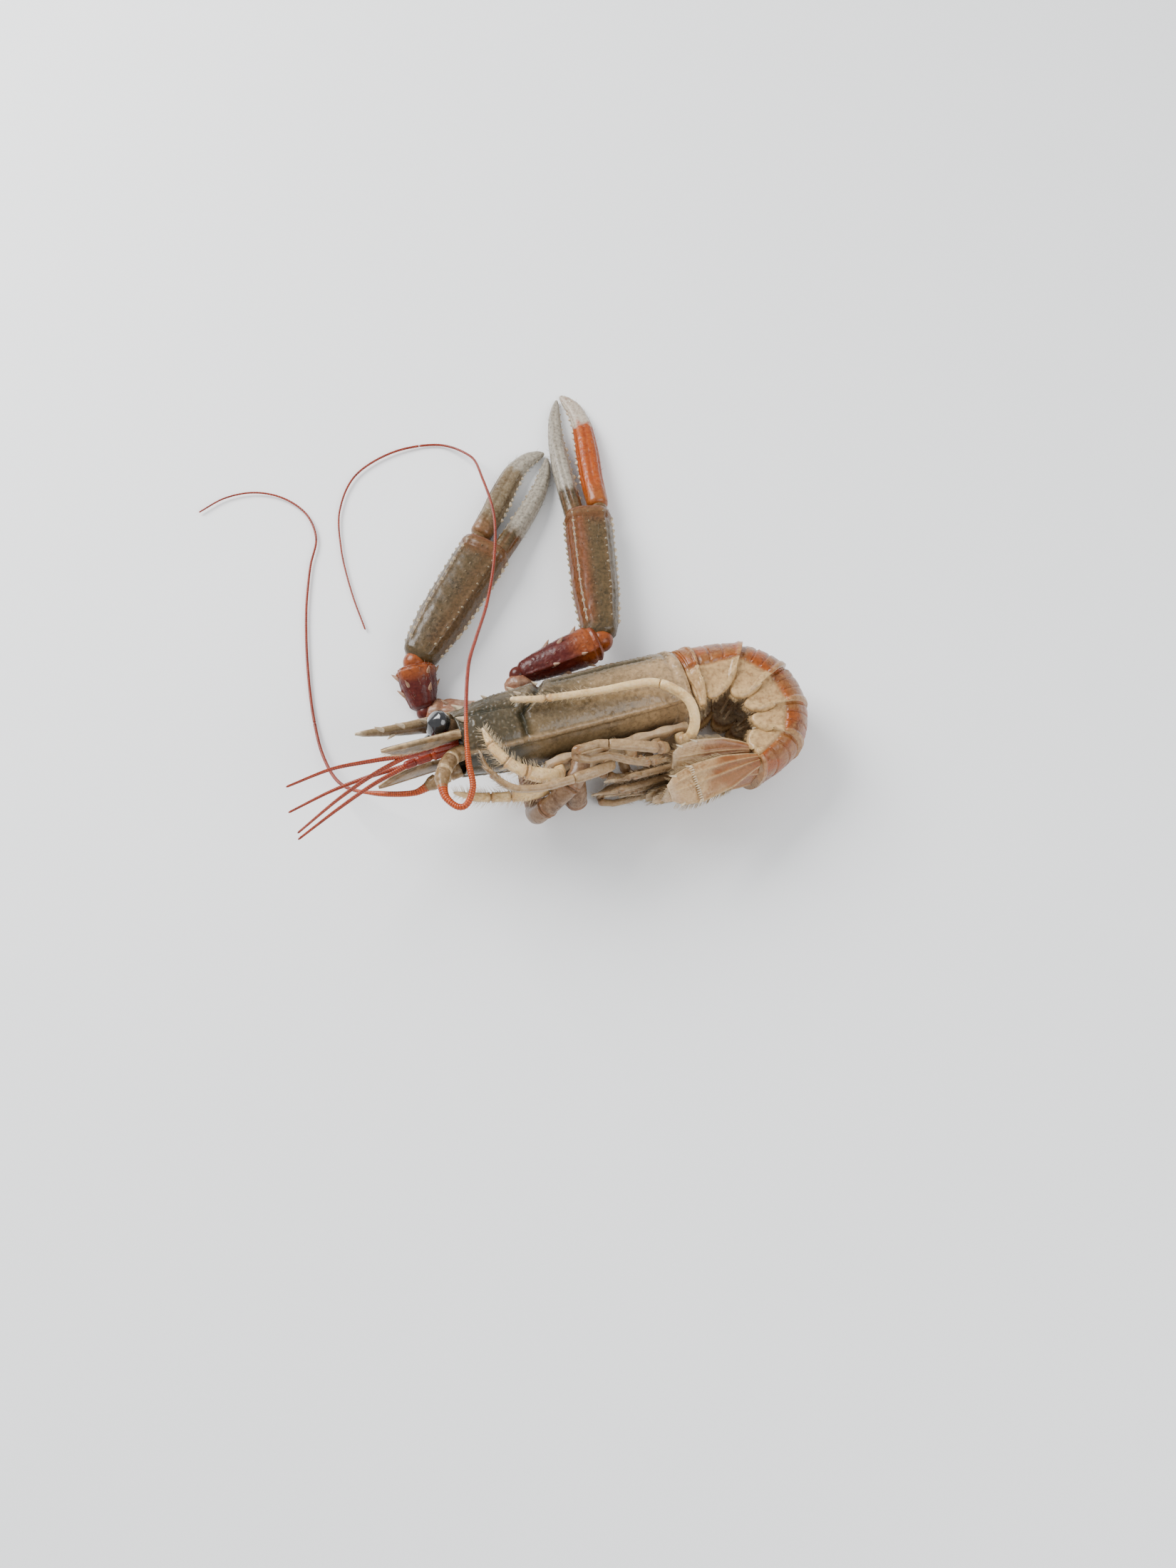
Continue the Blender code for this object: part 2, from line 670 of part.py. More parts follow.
LEG_ROUTES = {
    ("2", LEFT): (body(-5.5, 3.4, LEG_ROOT), body(-5.4, 4.4, -13.6), body(-4.6, 7.0, -15.6),
                  body(-1.0, 8.9, -16.8), body(12.0, 9.0, -17.2), body(17.2, 9.0, -15.6),
                  body(20.6, 9.2, -11.2), body(21.3, 9.2, -6.0)),
    ("3", LEFT): (body(-11.0, 2.8, LEG_ROOT), body(-11.4, 2.6, -13.2), body(-13.4, 2.0, -14.8),
                  body(-18.0, 1.8, -15.0), body(-26.0, 1.8, -15.0), body(-28.0, 1.8, -16.2),
                  body(-26.0, 1.8, -17.4), body(-9.0, 1.8, -17.4), body(-3.5, 1.8, -17.0)),
    ("4", LEFT): (body(-17.0, 3.6, LEG_ROOT), body(-17.2, 4.6, -13.5), body(-17.0, 7.8, -15.2),
                  body(-14.0, 12.0, -16.4), body(-1.5, 12.4, -12.4), body(3.2, 11.2, -12.8),
                  body(0.5, 9.9, -14.2), body(-4.0, 9.4, -14.4), body(-9.0, 7.8, -16.2),
                  body(-14.0, 6.2, -17.1), body(-21.0, 5.4, -17.0)),
    ("5", LEFT): (body(-22.5, 3.6, LEG_ROOT), body(-22.7, 4.6, -13.4), body(-23.3, 7.6, -14.0),
                  body(-24.2, 10.8, -12.2), body(-23.9, 12.8, -8.6), body(-21.6, 13.2, -5.2),
                  body(-18.0, 12.9, -2.4), body(-13.5, 12.4, -1.5), body(-6.5, 12.0, -0.9),
                  body(6.6, 11.4, 0.9), body(12.0, 10.7, 2.6)),
    ("2", RIGHT): (body(-5.5, -3.2, LEG_ROOT), body(-5.9, -3.3, -13.3), body(-8.2, -3.5, -15.0),
                   body(-14.0, -3.6, -15.3), body(-22.0, -3.6, -15.3), body(-24.2, -3.6, -16.4),
                   body(-22.0, -3.6, -17.5), body(-6.0, -3.6, -17.6), body(-1.5, -3.6, -17.2)),
    ("3", RIGHT): (body(-11.0, -3.8, LEG_ROOT), body(-11.3, -4.8, -13.3), body(-13.2, -6.0, -14.8),
                   body(-18.0, -6.4, -15.25), body(-27.0, -6.4, -15.3), body(-29.2, -6.4, -16.4),
                   body(-27.0, -6.4, -17.5), body(-10.0, -6.4, -17.6), body(-5.0, -6.6, -17.2)),
    ("4", RIGHT): (body(-17.0, -3.9, LEG_ROOT), body(-17.2, -5.4, -12.85), body(-17.6, -8.2, -12.95),
                   body(-19.6, -9.6, -14.3), body(-23.0, -9.4, -15.1), body(-31.0, -9.0, -15.1),
                   body(-33.1, -9.0, -16.2), body(-31.0, -9.0, -17.4), body(-14.0, -9.2, -17.6),
                   body(-9.0, -9.4, -17.2)),
    ("5", RIGHT): (body(-22.5, -3.8, LEG_ROOT), body(-22.8, -5.2, -12.5), body(-22.9, -8.4, -12.5),
                   body(-20.6, -12.0, -12.6), body(-17.0, -13.2, -13.2), body(-8.5, -13.6, -13.6),
                   body(-6.2, -13.9, -15.2), body(-8.5, -13.6, -16.8), body(-20.0, -12.0, -17.4),
                   body(-26.0, -11.2, -17.0)),
}
UPPER_LEG_TABLE = (
    (0.0, 1.15, 1.15),
    (0.06, 1.0, 1.1),
    (0.12, 1.0, 1.2),
    (0.36, 0.95, 1.15),
    (0.44, 0.85, 0.95),
    (0.52, 0.85, 1.0),
    (0.6, 0.75, 0.85),
    (0.85, 0.7, 0.8),
)
LEG_TABLE = (*UPPER_LEG_TABLE, (0.9, 0.5, 0.55), (1.0, 0.22, 0.22))
BLUNT_LEG_TABLE = (*UPPER_LEG_TABLE, (0.97, 0.65, 0.72), (1.0, 0.5, 0.5))
BLUNT_LEG = ("5", LEFT)
LEG_SPLIT = 0.40


def split_limb(names, route, table, cuts, colour, count=6, steps=4, end_plane=None):
    """A bent limb along one smooth line, cut square into named lengths.

    It starts flat against the thorax, and its end can lie in the plane of a joint.
    """
    lead = route[0] - BACKWARD * LEG_LEAD
    line = smooth_path([route[0], lead, *route[1:]], steps)
    shares = line_shares(line)
    total = sum((b - a).length for a, b in zip(line, line[1:]))
    half_gap = GAP / 2 / total
    for name, low, high in zip(names, cuts, cuts[1:]):
        low_cut = low + half_gap if low > 0 else 0.0
        high_cut = high - half_gap if high < 1 else 1.0
        inside = [point for point, share in zip(line, shares) if low_cut + 0.006 < share < high_cut - 0.006]
        piece = [point_at(line, shares, low_cut), *inside, point_at(line, shares, high_cut)]
        rows = []
        for i in range(13):
            share = low_cut + (high_cut - low_cut) * i / 12
            rows.append((i / 12, *profile(table, share)))
        axis = (piece[-1] - piece[-2]).normalized()
        if end_plane and high == 1:
            margin = slant_margin(axis, end_plane, rows[-1][1])
            piece = [point for point in piece[:-1] if (piece[-1] - point).length > margin] + [piece[-1]]
        root_normal = -BACKWARD if low == 0 else cut_normal(line, shares, low)
        tip_normal = None if high == 1 else cut_normal(line, shares, high)
        rings = sweep_rings(piece, rows, LEFTWARD, count, 2.0, root_normal, tip_normal)
        if end_plane and high == 1:
            rings[-1] = slide_to_plane(rings[-1], axis, end_plane, -GAP / 2)
        add_solid(name, rings, colour)


PINCER_START = 0.80
PINCER_LENGTH = 4.6
PINCER_TABLE = ((0.0, 0.5, 0.5), (0.3, 0.55, 0.55), (0.8, 0.4, 0.4), (1.0, 0.15, 0.15))


def make_pincer(leg, route):
    """The second finger of a small pincer, fused beside the end of a leg."""
    line = smooth_path(list(route), 8)
    shares = line_shares(line)
    root = point_at(line, shares, PINCER_START)
    ahead = cut_normal(line, shares, PINCER_START).normalized()
    apart = (LEFTWARD - ahead * LEFTWARD.dot(ahead)).normalized()
    middle = root + ahead * (PINCER_LENGTH * 0.45) + apart * 0.9
    points = [root, middle, root + ahead * PINCER_LENGTH + apart * 0.55]
    finger = add_solid("pincer", sweep_rings(smooth_path(points, 3), PINCER_TABLE, LEFTWARD, 5), CREAM)
    fuse(leg, [finger])


def make_legs():
    """The eight walking legs, each in an upper and a lower length; the first two pairs have pincers."""
    for (number, side), route in LEG_ROUTES.items():
        stem = "leg_" + number + "_" + SIDE_NAMES[side]
        table = BLUNT_LEG_TABLE if (number, side) == BLUNT_LEG else LEG_TABLE
        split_limb((stem + "_upper", stem + "_lower"), route, table, (0.0, LEG_SPLIT, 1.0), CREAM)
        if number in ("2", "3"):
            make_pincer(bpy.data.objects[stem + "_lower"], route)


def make_mouth_limbs():
    """The outermost pair of mouth limbs, folded forward under the head."""
    for side, route in MOUTH_LIMB_ROUTES.items():
        split_limb(("maxilliped_" + SIDE_NAMES[side],), route, MOUTH_LIMB_TABLE, (0.0, 1.0), CREAM)


# Claws: the joints of each claw limb in the plan frame, from the thorax outwards
CLAW_LIMBS = {
    LEFT: dict(
        root=(body(0.5, 3.8, LEG_ROOT), body(1.4, 3.8, -14.2), body(4.6, 1.2, -16.4), body(9.6, -7.6, -16.8)),
        merus=(Vector((-11.9, -7.6, 4.0)), Vector((-15.8, 23.2, 7.9))),
        wrist=Vector((3.0, 31.5, 8.4)), hinge=Vector((-0.3, 67.3, 5.2)), tip=Vector((-7.6, 102.85, 0.55)),
        palm=(4.2, 5.3, 3.9), finger_turn=1, seed=3),
    RIGHT: dict(
        root=(body(0.5, -3.2, LEG_ROOT), body(0.6, -4.0, -14.0), body(0.6, -7.2, -15.8),
              body(0.4, -11.4, -14.4), body(0.0, -13.6, -10.2), body(-2.4, -13.8, -4.0)),
        merus=(Vector((-2.6, 14.6, 2.2)), Vector((-37.0, 16.6, 1.9))),
        wrist=Vector((-39.5, 27.6, 5.0)), hinge=Vector((-23.3, 59.0, 3.85)), tip=Vector((-10.2, 85.6, 1.1)),
        palm=(4.4, 5.9, 4.3), finger_turn=-1, seed=5),
}

BASE_TABLE = (
    (0.0, 2.0, 2.0),
    (0.2, 2.1, 2.1),
    (0.35, 1.9, 1.9),
    (0.7, 2.1, 2.1),
    (0.95, 2.0, 2.0),
    (1.0, 1.8, 1.8),
)
MERUS_TABLE = ((0.0, 1.7, 1.6), (0.08, 2.1, 1.9), (0.5, 2.7, 2.05), (0.88, 3.2, 2.15), (1.0, 2.5, 1.9))
CARPUS_TABLE = ((0.0, 2.2, 2.0), (0.12, 2.8, 2.5), (0.5, 4.0, 3.3), (0.85, 4.5, 3.7), (1.0, 3.5, 3.0))

# Degrees round the limb, size name, and the shares of its length where spines stand
MERUS_SPINES = (
    (0, "small", (0.40, 0.58, 0.74)),
    (180, "small", (0.50, 0.68)),
    (60, "medium", (0.86,)),
    (130, "large", (0.84,)),
)
CARPUS_SPINES = (
    (0, "medium", (0.50, 0.78)),
    (55, "medium", (0.40, 0.72)),
    (125, "medium", (0.55,)),
    (180, "large", (0.40, 0.74)),
)

# Degrees round the palm, size name and count of each row of tubercles
PALM_ROWS = (
    (0, "plain", 10),
    (180, "plain", 10),
    (55, "fine", 6),
    (125, "fine", 6),
    (-50, "fine", 5),
    (-130, "fine", 5),
)
PALM_ROW_START = 0.12
PALM_ROW_END = 0.90
PALM_POWER = 2.8

# Fingers: share of the way from hinge to tip, and distance to the side as a share of the palm's width
FINGER_ROOT = 0.54
FINGER_BOW = ((0.25, 0.57), (0.42, 0.66), (0.58, 0.73), (0.71, 0.75), (0.87, 0.57), (0.96, 0.28), (1.0, 0.1))
FIXED_FINGER_BOW = (
    (-0.14, -0.57),
    (0.05, -0.60),
    (0.25, -0.64),
    (0.42, -0.64),
    (0.60, -0.60),
    (0.79, -0.43),
    (0.92, -0.20),
    (0.97, -0.09),
)
FINGER_TABLE = (
    (0.0, 2.5, 2.5),
    (0.12, 2.7, 2.8),
    (0.42, 2.85, 2.45),
    (0.58, 2.65, 2.2),
    (0.71, 2.4, 1.8),
    (0.87, 1.9, 1.25),
    (0.96, 1.2, 0.8),
    (1.0, 0.3, 0.3),
)
FIXED_FINGER_TABLE = (
    (0.0, 2.3, 2.4),
    (0.15, 2.35, 2.9),
    (0.45, 2.3, 2.5),
    (0.65, 2.0, 2.0),
    (0.85, 1.5, 1.3),
    (0.95, 0.9, 0.8),
    (1.0, 0.25, 0.25),
)
FINGER_TEETH = 7


def make_claw_limb(side):
    """One claw limb: base, merus, carpus, palm with its fixed finger, and movable finger."""
    limb = CLAW_LIMBS[side]
    word = SIDE_NAMES[side]
    up = Vector((0, 0, 1))
    start, elbow = limb["merus"]
    wrist, hinge, tip = limb["wrist"], limb["hinge"], limb["tip"]
    knee_plane = joint_plane(limb["root"][-1], start, elbow)
    elbow_plane = joint_plane(start, elbow, wrist)
    wrist_plane = joint_plane(elbow, wrist, hinge)
    route = (*limb["root"], start)
    split_limb(("claw_base_" + word,), route, BASE_TABLE, (0.0, 1.0), PALE_SHELL, 8, 3, knee_plane)
    draw = random.Random(limb["seed"])
    planes = (knee_plane, elbow_plane)
    merus = limb_length("merus_" + word, start, elbow, MERUS_TABLE, up, PALE_SHELL, planes)
    fuse(merus, limb_spines(start, elbow, MERUS_TABLE, MERUS_SPINES, draw))
    planes = (elbow_plane, wrist_plane)
    carpus = limb_length("carpus_" + word, elbow, wrist, CARPUS_TABLE, up, DARK_RED, planes)
    fuse(carpus, limb_spines(elbow, wrist, CARPUS_TABLE, CARPUS_SPINES, draw))
    make_palm(limb, word, wrist, hinge, tip, wrist_plane, draw)
    make_finger(limb, word, wrist, hinge, tip, draw)


def claw_axes(start, end, turn):
    """The claw's length, the direction towards its movable finger, and its upper side."""
    axis = (end - start).normalized()
    up = (Vector((0, 0, 1)) - axis * axis.z).normalized()
    across = axis.cross(up).normalized() * turn
    return axis, across, up


def palm_tubercles(wrist, hinge, table, up, draw):
    """Rows of tubercles along the palm's edges and ridges."""
    pieces = []
    for degrees, size, count in PALM_ROWS:
        for i in range(count):
            share = PALM_ROW_START + (PALM_ROW_END - PALM_ROW_START) * (i + draw.uniform(0.3, 0.7)) / count
            root, out = limb_surface(wrist, hinge, table, up, share, degrees, PALM_POWER)
            height, radius = varied(TUBERCLE_SIZES[size], draw)
            pieces.append(add_spike(root - out * 0.2, out, height, radius, TUBERCLE_TOP))
    return pieces


def finger_teeth(line, table, inward, draw):
    """Blunt teeth along the biting edge of a finger."""
    pieces = []
    shares = line_shares(line)
    for i in range(FINGER_TEETH):
        share = 0.26 + 0.58 * (i + 0.5) / FINGER_TEETH
        half_width, _ = profile(table, share)
        height, radius = varied(TUBERCLE_SIZES["plain" if i == 2 else "fine"], draw)
        root = point_at(line, shares, share) + inward * (half_width - 0.2)
        pieces.append(add_spike(root, inward, height, radius, TUBERCLE_TOP))
    return pieces


def finger_line(start, hinge, tip, across, bow, width):
    """The middle line of a finger, bowed to the side between hinge and tip."""
    bowed = [hinge.lerp(tip, share) + across * (place * width) for share, place in bow]
    return smooth_path([*start, *bowed], 2)


def make_palm(limb, word, wrist, hinge, tip, wrist_plane, draw):
    """The palm, a prism with rounded edges, and the fixed finger fused to it."""
    _, _, up = claw_axes(wrist, hinge, limb["finger_turn"])
    _, across, finger_up = claw_axes(hinge, tip, limb["finger_turn"])
    base, wide, thick = limb["palm"]
    table = (
        (0.0, base * 0.72, thick * 0.72),
        (0.08, base * 0.95, thick * 0.85),
        (0.35, wide * 0.94, thick),
        (0.8, wide, thick),
        (0.96, wide * 0.98, thick * 0.94),
        (1.0, wide * 0.9, thick * 0.84),
    )
    palm = limb_length("palm_" + word, wrist, hinge, table, up, SHELL, (wrist_plane, None), 12, PALM_POWER, 8)
    pieces = palm_tubercles(wrist, hinge, table, up, draw)
    line = finger_line((), hinge, tip, across, FIXED_FINGER_BOW, wide)
    pieces.append(add_solid("fixed_finger", sweep_rings(line, FIXED_FINGER_TABLE, finger_up, 8, 2.2), SHELL))
    pieces.extend(finger_teeth(line, FIXED_FINGER_TABLE, across, draw))
    fuse(palm, pieces)
    return palm


def make_finger(limb, word, wrist, hinge, tip, draw):
    """The movable finger, which starts flat against the palm and curves in to meet the fixed one."""
    palm_axis, palm_across, _ = claw_axes(wrist, hinge, limb["finger_turn"])
    _, across, up = claw_axes(hinge, tip, limb["finger_turn"])
    wide = limb["palm"][1]
    root = hinge + palm_across * (wide * FINGER_ROOT) + palm_axis * GAP
    line = finger_line((root,), hinge, tip, across, FINGER_BOW, wide)
    rings = sweep_rings(line, FINGER_TABLE, up, 8, 2.2, palm_axis)
    finger = add_solid("movable_finger_" + word, rings, ORANGE)
    fuse(finger, finger_teeth(line, FINGER_TABLE, -across, draw))
    return finger


# Tail

def tail_joint(index):
    """Outer end, inner end and half width of the tail at one joint, in (s, d)."""
    outer, inner, width = TAIL_JOINTS[index]
    if not isinstance(outer, tuple):
        angle = math.radians(outer)
        s, d = CURL_CENTRE
        outer = (s - CURL_RADIUS * math.sin(angle), d + CURL_RADIUS * math.cos(angle))
    return Vector(outer), Vector(inner), width


def tail_section(index, share):
    """The tail's section within a segment: outer end, inner end and half width."""
    count = len(TAIL_JOINTS)
    rows = [tail_joint(min(max(index + k, 0), count - 1)) for k in (-1, 0, 1, 2)]
    if index == 0:
        outer, inner, width = tail_joint(0)
        rows[0] = (outer + Vector((4.0, 0.0)), inner + Vector((4.0, 0.0)), width)
    if index + 2 >= count:
        outer, inner, width = tail_joint(count - 1)
        rows[3] = (outer + Vector((8.0, 1.5)), inner + Vector((6.0, 1.0)), width)
    p, q, r, w = [row[0] for row in rows]
    t = share
    curve = (2 * p - 5 * q + 4 * r - w) * t ** 2 + (3 * q - p - 3 * r + w) * t ** 3
    outer = 0.5 * (2 * q + (r - p) * t + curve)
    inner = rows[1][1].lerp(rows[2][1], t)
    width = rows[1][2] + (rows[2][2] - rows[1][2]) * t
    return outer, inner, width


def tail_ring(index, share, swell, shift):
    """One section of a tail segment: over the back, round both side plates, and the belly."""
    outer, inner, width = tail_section(index, share)
    up = (outer - inner).normalized()
    depth = (outer - inner).length
    lobe = math.sqrt(max(0.0, 1.0 - ((share - 0.5) / 0.5) ** 2))
    tip = PLEURON_SHARE + (1.0 - PLEURON_SHARE) * lobe
    belly = depth * BELLY_SHARE
    margin = depth * tip

    def at(l, down):
        point = outer - up * down
        return body(point.x, l, point.y) + shift

    ring = []
    half = []
    for angle in (0.0, 0.3, 0.6, 0.9, 1.2, 1.45):
        x = math.sin(angle) ** 0.9 * width * swell
        y = (1 - math.cos(angle)) * depth * 0.52 - (swell - 1.0) * depth * 0.4
        half.append((x, y))
    half.append((width * swell * 0.97, depth * 0.62))
    half.append((width * swell * 0.86, margin))
    for x, y in half:
        ring.append(at(x, y))
    inside = width * swell * 0.86 - PLEURON_THICKNESS
    under = [(inside, margin), (width * 0.80, belly), (width * 0.4, belly * 1.02)]
    for x, y in under:
        ring.append(at(x, y))
    for x, y in reversed(under):
        ring.append(at(-x, y))
    for x, y in reversed(half[1:]):
        ring.append(at(-x, y))
    return ring


SWIMMERET_SEGMENTS = (2, 3, 4, 5)


def make_tail_segment(number):
    """One ring of the tail with its rounded side plates."""
    index = number - 1
    steps = 4 if number == 1 else 8
    rings = []
    for i in range(steps + 1):
        share = i / steps
        swell = 0.97 + 0.05 * share
        shift = Vector((0, 0, 0))
        if i in (0, steps):
            sign = 1 if i == 0 else -1
            outer, inner, _ = tail_section(index, share)
            ahead, _, _ = tail_section(index, min(share + 0.05, 1.0))
            behind, _, _ = tail_section(index, max(share - 0.05, 0.0))
            up = (outer - inner).normalized()
            run = (ahead - behind)
            run = (run - up * run.dot(up)).normalized()
            shift = (FORWARD * run.x + BACKWARD * run.y) * (sign * GAP / 2)
        rings.append(tail_ring(index, share, swell, shift))
    node = add_solid("tail_segment_" + str(number), rings, SHELL)
    if number in SWIMMERET_SEGMENTS:
        fuse(node, swimmerets(index))
    return node


def swimmerets(index):
    """A pair of two-bladed paddles under a tail segment, pointing into the curl."""
    pieces = []
    for side in (LEFT, RIGHT):
        for share, length, half_width in ((0.36, 0.30, 1.5), (0.64, 0.36, 1.3)):
            outer, inner, width = tail_section(index, share)
            down = inner - outer
            root = outer + down * (BELLY_SHARE - 0.04)
            tip = outer + down * (BELLY_SHARE + length)
            place = side * width * 0.42
            line = [body(p.x, place, p.y) for p in (root, root.lerp(tip, 0.35), root.lerp(tip, 0.75), tip)]
            table = (
                (0.0, 0.9, 0.35),
                (0.35, half_width, 0.35),
                (0.75, half_width * 0.8, 0.32),
                (1.0, 0.4, 0.25),
            )
            along = (line[-1] - line[0]).normalized().cross(LEFTWARD)
            pieces.append(add_solid("paddle", sweep_rings(line, table, along, 6), CREAM))
    return pieces


# Tail fan: share of the length, half widths to the left and right, and a factor for the thickness
TELSON_ROWS = (
    (0.0, 4.6, 4.6, 1.2),
    (0.15, 5.6, 5.6, 1.1),
    (0.6, 5.2, 5.2, 1.05),
    (0.9, 4.7, 4.7, 1.0),
    (0.97, 3.9, 3.9, 0.8),
    (1.0, 2.6, 2.6, 0.6),
)
BLADE_ROWS = (
    (0.0, 1.4, 1.4, 1.6),
    (0.1, 2.2, 2.0, 1.4),
    (0.35, 3.6, 3.6, 1.1),
    (0.7, 4.0, 4.2, 1.0),
    (0.9, 3.2, 3.4, 0.9),
    (1.0, 1.6, 1.8, 0.6),
)

# Root, tip, and degrees by which a blade is turned up on edge; the left blades lie with their faces up
FAN_BLADES = {
    "uropod_inner_left": (body(-35.1, 5.6, -19.6), body(-17.5, 7.4, -18.2), 45),
    "uropod_outer_left": (body(-35.8, 6.6, -22.8), body(-13.6, 9.2, -25.6), 70),
    "uropod_inner_right": (body(-35.6, -3.4, -21.4), body(-15.0, -6.2, -21.0), 0),
    "uropod_outer_right": (body(-35.1, -4.8, -19.6), body(-14.4, -8.0, -19.4), 0),
}
BLADE_POINTS = 7


def fan_blade(name, root, tip, rows, thickness, colour, turn=0):
    """A flat blade of the tail fan: rows give its half widths along its length."""
    axis = (tip - root).normalized()
    wide = LEFTWARD * math.cos(math.radians(turn)) + BACKWARD * math.sin(math.radians(turn))
    side = (wide - axis * wide.dot(axis)).normalized()
    up = side.cross(axis).normalized()
    places = [i / (BLADE_POINTS - 1) for i in range(BLADE_POINTS)]
    rings = []
    for share, left_half, right_half, scale in rows:
        centre = root.lerp(tip, share)
        ring = []
        for face, order in ((-1, places), (1, reversed(places))):
            for place in order:
                x = -right_half + (left_half + right_half) * place
                edge = 0.45 if place in (0.0, 1.0) else 1.0
                ring.append(centre + side * x + up * (face * thickness * scale * edge / 2))
        rings.append(ring)
    return add_solid(name, rings, colour)


def make_tail_fan():
    """The telson and the four uropods, folded forward under the belly."""
    fan_blade("telson", body(-36.3, 0, -23.6), body(-15.6, 0, -22.6), TELSON_ROWS, 1.5, SHELL)
    for name, (root, tip, turn) in FAN_BLADES.items():
        fan_blade(name, root, tip, BLADE_ROWS, 1.0, PALE_SHELL, turn)


def build():
    """Make every sub-part."""
    clear_scene()
    make_carapace()
    make_sternum()
    for side in (LEFT, RIGHT):
        make_eye(side)
        make_antennule(side)
        make_scale(side)
        make_feeler(side)
        make_claw_limb(side)
    make_mouth_limbs()
    make_legs()
    for number in range(1, 7):
        make_tail_segment(number)
    make_tail_fan()
    for item in list(bpy.data.objects):
        rest_on_floor(item)


build()
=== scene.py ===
"""Norway lobster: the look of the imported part, with its floor, light and camera.

Two frames are used, the same as in the part's source. The plan frame has X to the right
and Y away from the viewer. The body frame has s forward along the animal, l to its left
and d to its back.
"""

import math

import bmesh
import bpy
import numpy as np
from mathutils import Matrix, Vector, noise


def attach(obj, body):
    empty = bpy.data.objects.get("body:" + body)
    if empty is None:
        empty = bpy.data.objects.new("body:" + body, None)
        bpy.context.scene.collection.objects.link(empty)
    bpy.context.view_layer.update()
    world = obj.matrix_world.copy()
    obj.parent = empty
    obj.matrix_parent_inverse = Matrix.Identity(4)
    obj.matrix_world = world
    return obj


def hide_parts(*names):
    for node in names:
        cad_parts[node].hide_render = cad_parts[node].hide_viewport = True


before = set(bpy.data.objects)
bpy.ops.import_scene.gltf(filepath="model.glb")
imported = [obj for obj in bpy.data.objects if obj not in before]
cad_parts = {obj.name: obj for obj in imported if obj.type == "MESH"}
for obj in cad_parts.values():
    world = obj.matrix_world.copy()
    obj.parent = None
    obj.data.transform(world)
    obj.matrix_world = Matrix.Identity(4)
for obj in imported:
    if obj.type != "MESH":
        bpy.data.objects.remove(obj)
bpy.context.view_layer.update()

MM = 0.001
LEFT = 1
RIGHT = -1
SIDE_NAMES = {LEFT: "left", RIGHT: "right"}

# Where the animal lies
BODY_ORIGIN = np.array((-5.9, 8.5, 17.2))
BODY_HEADING = math.radians(199.4)
BODY_PITCH = math.radians(10.1)
PLAN_CENTRE = np.array((-23.008, 40.819, 0.0))

# Where the photo's camera stands
CAMERA_DISTANCE = 304.0
CAMERA_ELEVATION = math.radians(70.0)
CAMERA_NEAREST = 0.001
PHOTO_HEIGHT = 2200
FOCAL_PIXELS = 1900.0
SENSOR = 36.0

# Floor and light in metres: place, power and size of each lamp
FLOOR_HALF = 3.0
FLOOR_ROUGHNESS = 0.65
FLOOR_COLOURS = ((0.87, 0.88, 0.88), (0.90, 0.90, 0.90))
LAMPS = {
    "key": ((-0.48, 0.34, 0.50), 11.0, 0.45),
    "fill": ((0.50, -0.35, 0.55), 4.0, 0.5),
}
SKY_COLOUR = (0.93, 0.96, 1.0, 1.0)
SKY_STRENGTH = 0.85

# Carapace and thorax underside
CARAPACE_REAR = -27.0
CARAPACE_FRONT = 23.0
CARAPACE_HALF_WIDTH = 9.7
CARAPACE_BACK = 8.6
CARAPACE_BELLY = -9.0
GAP = 0.3
STERNUM_BOTTOM = -11.2
LEG_ROOT = STERNUM_BOTTOM - GAP
LEG_LEAD = 0.9

MARKS = ("rim", "knob", "tip", "stain")


# Frames and curves


def body_axes():
    """The forward, left and back directions of the animal as it lies."""
    heading = np.array((math.cos(BODY_HEADING), math.sin(BODY_HEADING), 0.0))
    forward = heading * math.cos(BODY_PITCH) + np.array((0.0, 0.0, math.sin(BODY_PITCH)))
    back = np.array((heading[1], -heading[0], 0.0))
    return forward, np.cross(back, forward), back


FORWARD, LEFTWARD, BACKWARD = body_axes()
UPWARD = np.array((0.0, 0.0, 1.0))


def body(s, l, d):
    """Plan points for places forward, left and towards the back."""
    s, l, d = np.broadcast_arrays(*[np.asarray(v, float) for v in (s, l, d)])
    return BODY_ORIGIN + s[..., None] * FORWARD + l[..., None] * LEFTWARD + d[..., None] * BACKWARD


def body_points(*places):
    """Plan points for places given as rows of the body frame."""
    return body(*np.transpose(places))


def plan(x, y, z):
    """A plan point."""
    return np.array((x, y, z), float)


def unit(v):
    """Vectors of length one."""
    v = np.asarray(v, float)
    return v / np.maximum(np.linalg.norm(v, axis=-1, keepdims=True), 1e-9)


def eased(table, t, soft=0.03):
    """Columns of values at t from rows of (t, value, ...), with their corners rounded."""
    t = np.asarray(t, float)
    rows = np.array(table, float)
    columns = []
    for k in range(1, rows.shape[1]):
        samples = [np.interp(t + soft * shift, rows[:, 0], rows[:, k]) for shift in (-1, -0.5, 0, 0.5, 1)]
        columns.append(np.mean(samples, axis=0))
    return columns if len(columns) > 1 else columns[0]


def hump(x, centre, width):
    """A smooth hump of height one."""
    return np.exp(-((np.asarray(x, float) - centre) / width) ** 2)


def ridge(angle, degrees, width):
    """A hump round a tube at the given degrees."""
    return hump(np.angle(np.exp(1j * (angle - math.radians(degrees)))), 0, width)


def ramp(x, low, high):
    """Zero below low, one above high and smooth between."""
    t = np.clip((np.asarray(x, float) - low) / (high - low), 0.0, 1.0)
    return t * t * (3 - 2 * t)


def squared(value, power):
    """A cosine or sine that gives a squarer section than a circle where power is above 2."""
    return np.sign(value) * np.abs(value) ** (2 / power)


